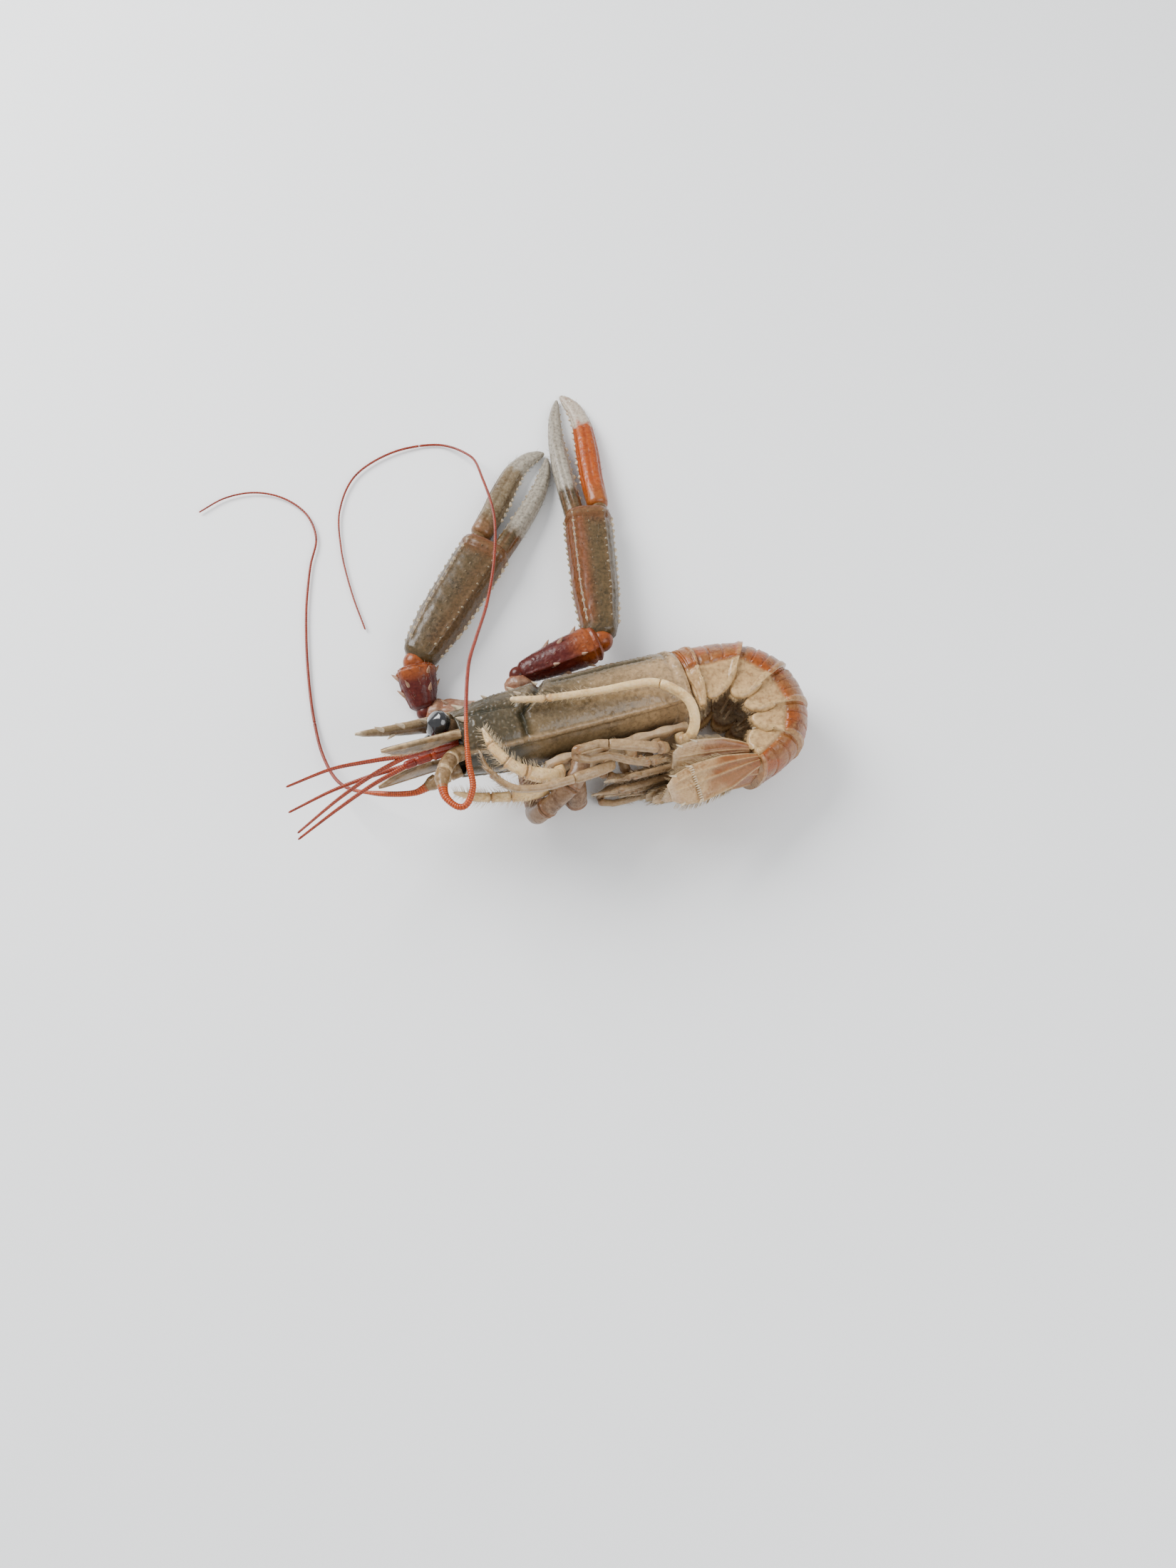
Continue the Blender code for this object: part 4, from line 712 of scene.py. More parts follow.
def make_scale(side):
    """The blade beside the large feeler: a stiff outer edge with a spine, and a fringe inside."""
    shape = Shape()
    share = np.linspace(0, 1, 110)
    inner, outer, thick = eased(SCALE_TABLE, share, 0.02)
    half = np.maximum((inner + outer) / 2, 0.2)
    middle = side * (6.6 + 1.2 * share + (outer - inner) / 2)
    line = body(CARAPACE_FRONT + GAP + SCALE_LENGTH * share, middle, -0.5 - 0.6 * share)
    angle = math.tau * np.arange(72) / 72
    x, y = np.cos(angle)[None] * half[:, None], np.sin(angle)[None] * thick[:, None]
    raised = 0.22 * hump(np.cos(angle) * side, 0.62, 0.12) * np.sign(np.sin(angle))
    skin = line[:, None] + LEFTWARD * x[..., None] + BACKWARD * (y + raised)[..., None]
    blotch = ramp(relief(skin, 2.2, 6), -0.1, 0.5)
    shape.grid(skin, rim=hump(np.cos(angle) * side, 1.0, 0.12), stain=0.5 * blotch)
    draw = np.random.default_rng(SCALE_SEED)
    for place in np.linspace(0.12, 0.96, SCALE_HAIRS):
        i = int(place * (len(share) - 1))
        root = line[i] - LEFTWARD * side * (half[i] - 0.1)
        direction = FORWARD - LEFTWARD * side * draw.uniform(0.5, 0.9) + BACKWARD * draw.uniform(-0.12, 0.12)
        shape.hair(root, direction, draw.uniform(1.1, 1.8), 0.045, rim=1.0)
    shape.finish("antennal_scale_" + SIDE_NAMES[side], "antennal_scale", "head_limb")


# The large feelers: places in the body frame, then plan points
FEELER_ROUTES = {
    LEFT: (
        ((23.3, 4.4, -3.6), (25.0, 4.6, -3.9), (27.6, 6.6, -6.0), (30.2, 8.2, -10.0), (30.6, 9.0, -14.4),
         (28.2, 9.8, -17.2), (25.4, 10.8, -14.4), (24.6, 11.5, -9.0), (23.2, 11.9, -2.9), (21.0, 11.5, 4.0)),
        ((-25.0, 17.5, 27.0), (-24.0, 26.0, 22.0), (-22.6, 38.0, 14.5), (-21.5, 50.0, 12.2),
         (-21.8, 62.0, 11.0), (-25.0, 74.0, 8.4), (-28.8, 84.0, 3.0), (-36.0, 88.5, 0.8), (-47.6, 86.6, 0.8),
         (-57.0, 79.5, 0.8), (-60.0, 70.0, 0.8), (-58.9, 59.0, 0.8), (-55.5, 47.0, 0.8), (-52.0, 38.0, 0.8))),
    RIGHT: (
        ((23.3, -4.4, -3.6), (25.0, -4.6, -3.8), (28.5, -6.0, -4.2), (33.0, -7.6, -5.0)),
        ((-45.5, -6.5, 12.0), (-54.0, -2.5, 6.5), (-59.5, 6.0, 2.0), (-62.6, 16.0, 0.8), (-65.0, 30.0, 0.8),
         (-66.2, 44.0, 0.8), (-66.0, 55.0, 0.8), (-65.2, 62.5, 0.8), (-68.0, 69.0, 0.8), (-74.0, 73.5, 0.8),
         (-81.0, 75.0, 0.8), (-88.0, 73.5, 0.8), (-94.0, 69.5, 0.8))),
}
FEELER_TABLE = (
    (0.0, 1.7), (0.05, 1.6), (0.06, 1.0), (0.08, 0.68), (0.145, 0.62), (0.17, 0.42), (0.38, 0.36),
    (0.7, 0.29), (1.0, 0.2))
FEELER_JOINTS = (0.020, 0.040)
BASE_END = 0.062

# Name, start and end along the feeler, and the length of its rings
FEELER_PARTS = (
    ("feeler_near", 0.06, 0.38, 0.5),
    ("feeler_middle", 0.38, 0.70, 0.55),
    ("feeler_far", 0.70, 1.0, 0.7),
)


def make_feeler(side):
    """The large feeler: a stout jointed base, then three lengths of ringed lash."""
    near, far = FEELER_ROUTES[side]
    line = smooth_path([*body_points(*near), *far], 40)
    base = Shape()
    share = np.linspace(0.0, BASE_END, 110)
    first, second = FEELER_JOINTS
    size = eased(FEELER_TABLE, share, 0.001)
    size = size * (1 - 0.22 * hump(share, first, 0.0012) - 0.20 * hump(share, second, 0.0012))
    skin, out, _ = Sweep(along_line(line, share), BACKWARD, size, size).grid(around=48)
    joints = (hump(share, first, 0.002) + hump(share, second, 0.002))[:, None]
    base.grid(skin + out * (0.05 * relief(skin, 0.9, 7))[..., None], rim=np.clip(joints, 0, 1))
    base.finish("antenna_base_" + SIDE_NAMES[side], "antenna_base", "head_limb")
    for name, low, high, pitch in FEELER_PARTS:
        shape = Shape()
        places = np.linspace(low, high, 400)
        radius = eased(FEELER_TABLE, places, 0.004)
        bright = 0.08 + 0.85 * (1 - ramp(places, 0.18, 0.205))
        ringed(shape, along_line(line, places), radius, pitch, bright)
        shape.finish(name + "_" + SIDE_NAMES[side], "feeler", "feeler_red")


# Mouth limbs and walking legs, with their places in the body frame

MOUTH_LIMB_ROUTES = {
    LEFT: (
        (4.9, 2.9, LEG_ROOT), (5.2, 3.8, -13.2), (7.2, 6.0, -14.2), (12.0, 8.2, -13.6), (16.6, 9.8, -10.4),
        (18.8, 10.6, -6.2), (19.4, 10.4, -1.9)),
    RIGHT: (
        (4.9, -2.9, LEG_ROOT), (5.4, -3.0, -12.9), (8.0, -3.4, -13.6), (15.0, -4.2, -12.6),
        (22.5, -4.6, -10.4), (26.5, -4.2, -8.4)),
}
MOUTH_LIMB_TABLE = (
    (0.0, 1.1, 1.1), (0.12, 1.15, 1.2), (0.35, 1.4, 1.6), (0.55, 1.1, 1.2), (0.8, 1.0, 1.1), (0.95, 0.5, 0.5),
    (1.0, 0.25, 0.25))
MOUTH_LIMB_JOINTS = (0.14, 0.48, 0.66, 0.84)

LEG_ROUTES = {
    ("2", LEFT): (
        (-5.5, 3.4, LEG_ROOT), (-5.4, 4.4, -13.6), (-4.6, 7.0, -15.6), (-1.0, 8.9, -16.8), (12.0, 9.0, -17.2),
        (17.2, 9.0, -15.6), (20.6, 9.2, -11.2), (21.3, 9.2, -6.0)),
    ("3", LEFT): (
        (-11.0, 2.8, LEG_ROOT), (-11.4, 2.6, -13.2), (-13.4, 2.0, -14.8), (-18.0, 1.8, -15.0),
        (-26.0, 1.8, -15.0), (-28.0, 1.8, -16.2), (-26.0, 1.8, -17.4), (-9.0, 1.8, -17.4),
        (-3.5, 1.8, -17.0)),
    ("4", LEFT): (
        (-17.0, 3.6, LEG_ROOT), (-17.2, 4.6, -13.5), (-17.0, 7.8, -15.2), (-14.0, 12.0, -16.4),
        (-1.5, 12.4, -12.4), (3.2, 11.2, -12.8), (0.5, 9.9, -14.2), (-4.0, 9.4, -14.4), (-9.0, 7.8, -16.2),
        (-14.0, 6.2, -17.1), (-21.0, 5.4, -17.0)),
    ("5", LEFT): (
        (-22.5, 3.6, LEG_ROOT), (-22.7, 4.6, -13.4), (-23.3, 7.6, -14.0), (-24.2, 10.8, -12.2),
        (-23.9, 12.8, -8.6), (-21.6, 13.2, -5.2), (-18.0, 12.9, -2.4), (-13.5, 12.4, -1.5),
        (-6.5, 12.0, -0.9), (6.6, 11.4, 0.9), (12.0, 10.7, 2.6)),
    ("2", RIGHT): (
        (-5.5, -3.2, LEG_ROOT), (-5.9, -3.3, -13.3), (-8.2, -3.5, -15.0), (-14.0, -3.6, -15.3),
        (-22.0, -3.6, -15.3), (-24.2, -3.6, -16.4), (-22.0, -3.6, -17.5), (-6.0, -3.6, -17.6),
        (-1.5, -3.6, -17.2)),
    ("3", RIGHT): (
        (-11.0, -3.8, LEG_ROOT), (-11.3, -4.8, -13.3), (-13.2, -6.0, -14.8), (-18.0, -6.4, -15.25),
        (-27.0, -6.4, -15.3), (-29.2, -6.4, -16.4), (-27.0, -6.4, -17.5), (-10.0, -6.4, -17.6),
        (-5.0, -6.6, -17.2)),
    ("4", RIGHT): (
        (-17.0, -3.9, LEG_ROOT), (-17.2, -5.4, -12.85), (-17.6, -8.2, -12.95), (-19.6, -9.6, -14.3),
        (-23.0, -9.4, -15.1), (-31.0, -9.0, -15.1), (-33.1, -9.0, -16.2), (-31.0, -9.0, -17.4),
        (-14.0, -9.2, -17.6), (-9.0, -9.4, -17.2)),
    ("5", RIGHT): (
        (-22.5, -3.8, LEG_ROOT), (-22.8, -5.2, -12.5), (-22.9, -8.4, -12.5), (-20.6, -12.0, -12.6),
        (-17.0, -13.2, -13.2), (-8.5, -13.6, -13.6), (-6.2, -13.9, -15.2), (-8.5, -13.6, -16.8),
        (-20.0, -12.0, -17.4), (-26.0, -11.2, -17.0)),
}
UPPER_LEG_TABLE = (
    (0.0, 1.15, 1.15), (0.06, 1.0, 1.1), (0.12, 1.0, 1.2), (0.36, 0.95, 1.15), (0.44, 0.85, 0.95),
    (0.52, 0.85, 1.0), (0.6, 0.75, 0.85), (0.85, 0.7, 0.8))
LEG_TABLE = (*UPPER_LEG_TABLE, (0.9, 0.5, 0.55), (1.0, 0.22, 0.22))
BLUNT_LEG_TABLE = (*UPPER_LEG_TABLE, (0.97, 0.65, 0.72), (1.0, 0.5, 0.5))
BLUNT_LEG = ("5", LEFT)
PINCER_LEGS = ("2", "3")
LEG_SPLIT = 0.40
LEG_JOINTS = (0.06, 0.86)
PINCER_START = 0.80
PINCER_LENGTH = 4.6
LIMB_STEP = 0.14
LEG_SEED = 100
MOUTH_LIMB_SEED = 30
MOUTH_BRISTLE_SEED = 40

# Bristles of a limb: how many, between which shares of its length, and how long they are
MOUTH_BRISTLES = (420, 0.25, 0.99, 1.5)
ARM_BRISTLES = (60, 0.1, 0.9, 0.8)
PALM_BRISTLES = (160, 0.05, 0.95, 0.8)
FINGER_BRISTLES = (90, 0.15, 0.95, 0.8)

# Name, start and end along a leg, and then its bristles
LEG_PARTS = (
    ("upper", 0.0, LEG_SPLIT, 30, 0.05, 0.95, 0.6),
    ("lower", LEG_SPLIT, 1.0, 130, 0.45, 0.99, 0.9),
)

# How a limb's joints are found at its bends, in shares of its length
BEND_REACH = 0.025
BEND_LEAST = 0.11
BEND_APART = 0.08


def limb_line(places, *onward):
    """A limb's line, which leaves the thorax square before it bends."""
    root, *rest = body_points(*places)
    return smooth_path([root, root - BACKWARD * LEG_LEAD, *rest, *onward], 40)


def bends(line):
    """Shares of a line at which it turns most sharply, where a limb has its joints."""
    share = np.linspace(0.10, 0.80, 200)
    before = unit(along_line(line, share) - along_line(line, share - BEND_REACH))
    after = unit(along_line(line, share + BEND_REACH) - along_line(line, share))
    turning = 1 - (before * after).sum(axis=1)
    found = []
    for i in np.argsort(-turning):
        if turning[i] > BEND_LEAST and all(abs(share[i] - other) > BEND_APART for other in found):
            found.append(float(share[i]))
    return found


def limb_shape(line, table, joints, low, high, around=36, seed=1):
    """One length of a bent limb, drawn in at its joints with a collar before each."""
    shape = Shape()
    length = line_length(line) * (high - low)
    share = np.linspace(low, high, max(int(length / LIMB_STEP), 40))
    width, height = eased(table, share, 0.012)
    pinch, collar = np.zeros_like(share), np.zeros_like(share)
    for joint in joints:
        pinch += hump(share, joint, 0.007)
        collar += hump(share, joint - 0.018, 0.010) + 0.6 * hump(share, joint + 0.016, 0.008)
    size = (1 - 0.34 * pinch + 0.15 * collar) * domed((share - low) / (high - low), length, 0, 0.7)
    sweep = Sweep(along_line(line, share), LEFTWARD, width * size, height * size, 2.2)
    skin, out, angle = sweep.grid(around)
    lift = 0.03 * relief(skin, 0.8, seed) - 0.07 * hump(np.sin(angle), 0, 0.25) * (1 - pinch)[:, None]
    pinch, collar = np.clip(pinch, 0, 1)[:, None], np.clip(collar, 0, 1)[:, None]
    shape.grid(skin + out * lift[..., None], rim=0.8 * pinch, stain=0.55 * collar * (1 - pinch),
               tip=0.6 * ramp(share, 0.93, 1.0)[:, None])
    return shape, sweep


def bristles(shape, sweep, count, low, high, length, draw, lean=0.8):
    """Add bristles round a tube between two shares of it."""
    for _ in range(count):
        root, out, ahead = sweep.at(draw.uniform(low, high), draw.uniform(0, 360))
        direction = out + ahead * lean * draw.uniform(0.6, 1.3)
        shape.hair(root, direction, length * draw.uniform(0.6, 1.2), lean=ahead * 0.2, tip=0.4)


def make_legs():
    """The eight walking legs, each in two lengths; the first two pairs end in pincers."""
    for seed, ((number, side), places) in enumerate(LEG_ROUTES.items()):
        line = limb_line(places)
        joints = [*LEG_JOINTS, *bends(line)]
        blunt = (number, side) == BLUNT_LEG
        table = BLUNT_LEG_TABLE if blunt else LEG_TABLE
        draw = np.random.default_rng(LEG_SEED + seed)
        for part, low, high, *hairs in LEG_PARTS:
            shape, sweep = limb_shape(line, table, joints, low, high, seed=seed)
            bristles(shape, sweep, *hairs, draw)
            if part == "lower" and number in PINCER_LEGS:
                add_pincer(shape, line)
            name = "leg_{}_{}_{}".format(number, SIDE_NAMES[side], part)
            # The legs under the body take the darker copy of the pale limb material, which is painted shade;
            # the leg over the flank stays pale.
            shape.finish(name, "walking_leg", "pale_limb" if blunt else "painted_shade_limb")


def add_pincer(shape, line):
    """The second finger of a small pincer beside the end of a leg."""
    root, after = along_line(line, np.array([PINCER_START, PINCER_START + 0.01]))
    ahead = unit(after - root)
    apart = unit(LEFTWARD - ahead * LEFTWARD.dot(ahead))
    middle = root + ahead * (PINCER_LENGTH * 0.45) + apart * 0.9
    path = smooth_path([root, middle, root + ahead * PINCER_LENGTH + apart * 0.55], 24)
    size = np.interp(line_shares(path), (0, 0.3, 0.8, 1), (0.5, 0.55, 0.4, 0.15))
    shape.grid(Sweep(path, LEFTWARD, size, size).grid(around=20)[0])


def make_mouth_limbs():
    """The outermost mouth limbs, folded forward, with a comb of bristles inside."""
    for side, places in MOUTH_LIMB_ROUTES.items():
        shape, sweep = limb_shape(
            limb_line(places), MOUTH_LIMB_TABLE, MOUTH_LIMB_JOINTS, 0.0, 1.0, seed=MOUTH_LIMB_SEED + side)
        draw = np.random.default_rng(MOUTH_BRISTLE_SEED + side)
        bristles(shape, sweep, *MOUTH_BRISTLES, draw, 0.5)
        shape.finish("maxilliped_" + SIDE_NAMES[side], "mouth_limb", "pale_limb")


# Claws: the joints of each limb from the thorax outwards, its base in the body frame

CLAW_LIMBS = {
    LEFT: dict(
        root=((0.5, 3.8, LEG_ROOT), (1.4, 3.8, -14.2), (4.6, 1.2, -16.4), (9.6, -7.6, -16.8)),
        merus=(plan(-11.9, -7.6, 4.0), plan(-15.8, 23.2, 7.9)),
        wrist=plan(3.0, 31.5, 8.4), hinge=plan(-0.3, 67.3, 5.2), tip=plan(-7.6, 102.85, 0.55),
        palm=(4.2, 5.3, 3.9), finger_turn=1, seed=3, finger="claw_finger", half_blush=0.95, end_blush=0.85),
    RIGHT: dict(
        root=((0.5, -3.2, LEG_ROOT), (0.6, -4.0, -14.0), (0.6, -7.2, -15.8), (0.4, -11.4, -14.4),
              (0.0, -13.6, -10.2), (-2.4, -13.8, -4.0)),
        merus=(plan(-2.6, 14.6, 2.2), plan(-37.0, 16.6, 1.9)),
        wrist=plan(-39.5, 27.6, 5.0), hinge=plan(-23.3, 59.0, 3.85), tip=plan(-10.2, 85.6, 1.1),
        palm=(4.4, 5.9, 4.3), finger_turn=-1, seed=5, finger="pale_claw_finger", half_blush=0.15,
        end_blush=0.8),
}
BASE_TABLE = (
    (0.0, 2.0, 2.0), (0.2, 2.1, 2.1), (0.35, 1.9, 1.9), (0.7, 2.1, 2.1), (0.95, 2.0, 2.0), (1.0, 1.8, 1.8))
BASE_JOINTS = (0.24, 0.55)
MERUS_TABLE = ((0.0, 1.7, 1.6), (0.08, 2.1, 1.9), (0.5, 2.7, 2.05), (0.88, 3.2, 2.15), (1.0, 2.5, 1.9))
MERUS_RIDGES = (15, 90, 165)
CARPUS_TABLE = ((0.0, 2.2, 2.0), (0.12, 2.8, 2.5), (0.5, 4.0, 3.3), (0.85, 4.5, 3.7), (1.0, 3.5, 3.0))
CARPUS_RIDGES = (55, 180)
CARPUS_POWER = 2.15
PALM_RIDGES = (0, 55, 125, 180, -50, -130)

# Degrees round the limb, length, radius and shares along it
MERUS_SPINES = (
    (0, 0.9, 0.45, (0.40, 0.58, 0.74)), (180, 0.9, 0.45, (0.50, 0.68)), (60, 1.4, 0.6, (0.86,)),
    (130, 2.1, 0.8, (0.84,)))
CARPUS_SPINES = (
    (0, 1.4, 0.6, (0.50, 0.78)), (55, 1.4, 0.6, (0.40, 0.72)), (125, 1.4, 0.6, (0.55,)),
    (180, 2.1, 0.8, (0.40, 0.74)))

# Degrees round the palm, height, radius, how many tubercles, and how pale they are
PALM_ROWS = (
    (0, 0.6, 0.72, 17, 0.95), (180, 0.6, 0.72, 17, 0.6), (55, 0.36, 0.45, 13, 0.3), (125, 0.45, 0.5, 15, 0.8),
    (90, 0.2, 0.28, 12, 0.25), (-50, 0.4, 0.5, 9, 0.5), (-130, 0.4, 0.5, 9, 0.5))
PALM_POWER = 2.8

# Fingers: share of the way from hinge to tip, and distance to the side as a share of the palm's width
FINGER_ROOT = 0.54
FINGER_BOW = ((0.25, 0.57), (0.42, 0.66), (0.58, 0.73), (0.71, 0.75), (0.87, 0.57), (0.96, 0.28), (1.0, 0.1))
FIXED_FINGER_BOW = (
    (-0.14, -0.57), (0.05, -0.60), (0.25, -0.64), (0.42, -0.64), (0.60, -0.60), (0.79, -0.43), (0.92, -0.20),
    (0.97, -0.09))
FINGER_TABLE = (
    (0.0, 2.5, 2.5), (0.12, 2.7, 2.8), (0.42, 2.85, 2.45), (0.58, 2.65, 2.2), (0.71, 2.4, 1.8),
    (0.87, 1.9, 1.25), (0.96, 1.2, 0.8), (1.0, 0.3, 0.3))
FIXED_FINGER_TABLE = (
    (0.0, 2.3, 2.4), (0.15, 2.35, 2.9), (0.45, 2.3, 2.5), (0.65, 2.0, 2.0), (0.85, 1.5, 1.3),
    (0.95, 0.9, 0.8), (1.0, 0.25, 0.25))
FINGER_GROOVES = (35, 90, 145, -60, -120)
FINGER_TEETH = 13
BIG_TEETH = (3, 7)


def claw_segment(shape, start, end, table, ridges, seed, power=2.4, domes=(1.2, 1.2), **painted):
    """Add one straight length of a claw limb, with ridges at the given degrees, and return its sweep."""
    share = stations(120)
    line = start + (end - start) * share[:, None]
    width, height = eased(table, share)
    ends = domed(share, np.linalg.norm(end - start), *domes)
    skin, out, angle = Sweep(line, UPWARD, width * ends, height * ends, power).grid(around=110)
    along = share[:, None]
    middle = ramp(along, 0.04, 0.14) * (1 - ramp(along, 0.90, 0.99))
    keels = middle * sum(ridge(angle, degrees, 0.14) for degrees in ridges)
    collar = hump(along, 0.93, 0.025)
    lift = 0.05 * relief(skin, 1.5, seed) + 0.10 * np.maximum(relief(skin, 0.5, seed + 1), 0) ** 2
    lift = lift + 0.30 * keels + 0.22 * collar - 0.25 * hump(along, 0.885, 0.018)
    marks = {mark: paint(along, angle) for mark, paint in painted.items()}
    shape.grid(skin + out * lift[..., None], rim=np.clip(0.35 * keels + 0.6 * collar, 0, 1), **marks)
    return Sweep(line, UPWARD, width, height, power)


def add_ball(shape, centre, axis, radius, **marks):
    """The rounded joint skin between two lengths of a limb."""
    share = stations(24)
    line = centre + unit(axis) * ((share[:, None] - 0.5) * radius * 2)
    size = radius * np.sqrt(np.maximum(1 - (2 * share - 1) ** 2, 0.004))
    shape.grid(Sweep(line, UPWARD + 0.2 * FORWARD, size, size).grid(around=28)[0], **marks)


def limb_spines(shape, sweep, rows, draw):
    """Add forward-leaning spines to a length of a claw limb."""
    for degrees, length, radius, shares in rows:
        for share in shares:
            root, out, ahead = sweep.at(share, degrees)
            factor = draw.uniform(0.9, 1.15)
            shape.spike(root - out * 0.15, out + ahead * 0.7, length * factor, radius * factor, rows=10,
                        lean=ahead * 0.35, stain=0.6, tip=0.3)


def make_claw_base(limb, word):
    """The short joints between thorax and merus."""
    line = limb_line(limb["root"], limb["merus"][0])
    shape, _ = limb_shape(line, BASE_TABLE, BASE_JOINTS, 0.0, 1.0, 48, limb["seed"])
    shape.finish("claw_base_" + word, "claw_base_shell", "claw_base")


def make_arm(limb, word):
    """The merus and the carpus with their spines and joint skins."""
    draw = np.random.default_rng(limb["seed"])
    start, elbow = limb["merus"]
    wrist = limb["wrist"]
    merus, carpus = Shape(), Shape()
    sweep = claw_segment(merus, start, elbow, MERUS_TABLE, MERUS_RIDGES, limb["seed"],
                         stain=lambda along, angle: 0.7 * ramp(along, 0.72, 0.95))
    limb_spines(merus, sweep, MERUS_SPINES, draw)
    add_ball(merus, start, elbow - start, 1.7)
    bristles(merus, sweep, *ARM_BRISTLES, draw)
    merus.finish("merus_" + word, "merus_shell", "claw_merus")
    sweep = claw_segment(carpus, elbow, wrist, CARPUS_TABLE, CARPUS_RIDGES, limb["seed"] + 4, CARPUS_POWER,
                         (1.8, 1.6),
                         stain=lambda along, angle: 0.9 * ramp(along + 0.12 * np.sin(angle), 0.66, 0.92))
    limb_spines(carpus, sweep, CARPUS_SPINES, draw)
    add_ball(carpus, elbow, wrist - elbow, 2.0, rim=0.6)
    add_ball(carpus, wrist, wrist - elbow, 2.7, stain=0.9)
    bristles(carpus, sweep, *ARM_BRISTLES, draw)
    carpus.finish("carpus_" + word, "carpus_shell", "claw_carpus")


def claw_axes(start, end, turn):
    """The way from start to end, the way towards the movable finger, and the way up."""
    axis = unit(end - start)
    up = unit(UPWARD - axis * axis[2])
    return axis, np.cross(axis, up) * turn, up


def finger_line(start, hinge, tip, across, bow, width):
    """The middle line of a finger, bowed to the side between hinge and tip."""
    bowed = [hinge + (tip - hinge) * share + across * (place * width) for share, place in bow]
    return smooth_path([*start, *bowed], 20)


def add_finger(shape, line, table, up, inward, pale, draw, seed):
    """Add a grooved, hooked finger with blunt teeth inside, pale beyond a share of its length."""
    share = line_shares(line)
    width, height = eased(table, share, 0.02)
    ends = domed(share, line_length(line), 1.4, 0.5)
    sweep = Sweep(line, up, width * ends, height * ends, 2.2)
    skin, out, angle = sweep.grid(around=80)
    along = share[:, None]
    grooves = sum(ridge(angle, degrees, 0.13) for degrees in FINGER_GROOVES)
    pits = np.maximum(relief(skin, 0.7, seed), 0) ** 2
    lift = -0.26 * grooves * ramp(along, 0.08, 0.2) * (1 - 0.8 * along) - 0.10 * pits
    ragged = along + 0.03 * relief(skin, 1.2, seed + 2)
    shape.grid(skin + out * lift[..., None], tip=0.92 * ramp(ragged, pale - 0.02, pale + 0.05),
               stain=0.4 * grooves + 0.3 * ramp(np.cos(angle), 0.4, 1.0),
               rim=0.7 * (1 - ramp(along, 0.04, 0.2)))
    for i in range(FINGER_TEETH):
        place = 0.20 + 0.70 * (i + draw.uniform(0.35, 0.65)) / FINGER_TEETH
        root = along_line(line, place) + inward * (np.interp(place, share, width) - 0.2)
        size = (1.35 if i in BIG_TEETH else 1.0) * draw.uniform(0.85, 1.1) * (1 - 0.4 * place)
        shape.spike(root, inward, 0.75 * size, 0.72 * size, 0.55, sides=12, rows=8, knob=0.9)
    bristles(shape, sweep, *FINGER_BRISTLES, draw)


def palm_table(base, wide, thick):
    """Rows of share, half width and half thickness for a palm."""
    return ((0.0, base * 0.72, thick * 0.72), (0.08, base * 0.95, thick * 0.85), (0.35, wide * 0.94, thick),
            (0.8, wide, thick), (0.96, wide * 0.98, thick * 0.94), (1.0, wide * 0.9, thick * 0.84))


def make_palm(limb, word):
    """The palm with its ridges of tubercles, and the fixed finger."""
    shape = Shape()
    draw = np.random.default_rng(limb["seed"] + 20)
    wrist, hinge, tip = limb["wrist"], limb["hinge"], limb["tip"]
    axis, palm_across, _ = claw_axes(wrist, hinge, limb["finger_turn"])
    _, across, up = claw_axes(hinge, tip, limb["finger_turn"])
    wide = limb["palm"][1]

    def blush(along, angle):
        """The half of the palm on the fixed finger's side is orange-brown, and so is its end."""
        half = limb["half_blush"] * ramp(-limb["finger_turn"] * np.cos(angle), -0.08, 0.28)
        return np.maximum(half * ramp(along, 0.04, 0.16), limb["end_blush"] * ramp(along, 0.78, 0.96))

    sweep = claw_segment(shape, wrist, hinge, palm_table(*limb["palm"]), PALM_RIDGES, limb["seed"] + 7,
                         PALM_POWER, (2.2, 1.4), stain=blush)
    for degrees, height, radius, count, pale in PALM_ROWS:
        for i in range(count):
            share = 0.10 + 0.84 * (i + draw.uniform(0.3, 0.7)) / count
            root, out, ahead = sweep.at(share, degrees)
            factor = draw.uniform(0.82, 1.15)
            shape.spike(root - out * 0.05, out + ahead * 0.25, height * factor + 0.25, radius * factor, 0.5,
                        knob=pale)
    bristles(shape, sweep, *PALM_BRISTLES, draw)
    line = finger_line((), hinge, tip, across, FIXED_FINGER_BOW, wide)
    add_finger(shape, line, FIXED_FINGER_TABLE, up, across, 0.25, draw, limb["seed"] + 9)
    add_ball(shape, hinge + palm_across * (wide * FINGER_ROOT), axis, 2.0, rim=0.8)
    shape.finish("palm_" + word, "palm_shell", "claw_palm")


def make_movable_finger(limb, word):
    """The movable finger, which curves in to meet the fixed one."""
    shape = Shape()
    draw = np.random.default_rng(limb["seed"] + 40)
    wrist, hinge, tip = limb["wrist"], limb["hinge"], limb["tip"]
    palm_axis, palm_across, _ = claw_axes(wrist, hinge, limb["finger_turn"])
    _, across, up = claw_axes(hinge, tip, limb["finger_turn"])
    wide = limb["palm"][1]
    root = hinge + palm_across * (wide * FINGER_ROOT) + palm_axis * GAP
    line = finger_line((root,), hinge, tip, across, FINGER_BOW, wide)
    add_finger(shape, line, FINGER_TABLE, up, -across, 0.66, draw, limb["seed"] + 11)
    shape.finish("movable_finger_" + word, "finger_shell", limb["finger"])


def make_claws():
    """Both claw limbs."""
    for side, limb in CLAW_LIMBS.items():
        for make in (make_claw_base, make_arm, make_palm, make_movable_finger):
            make(limb, SIDE_NAMES[side])


# Tail: each row is a joint, as in the part's source

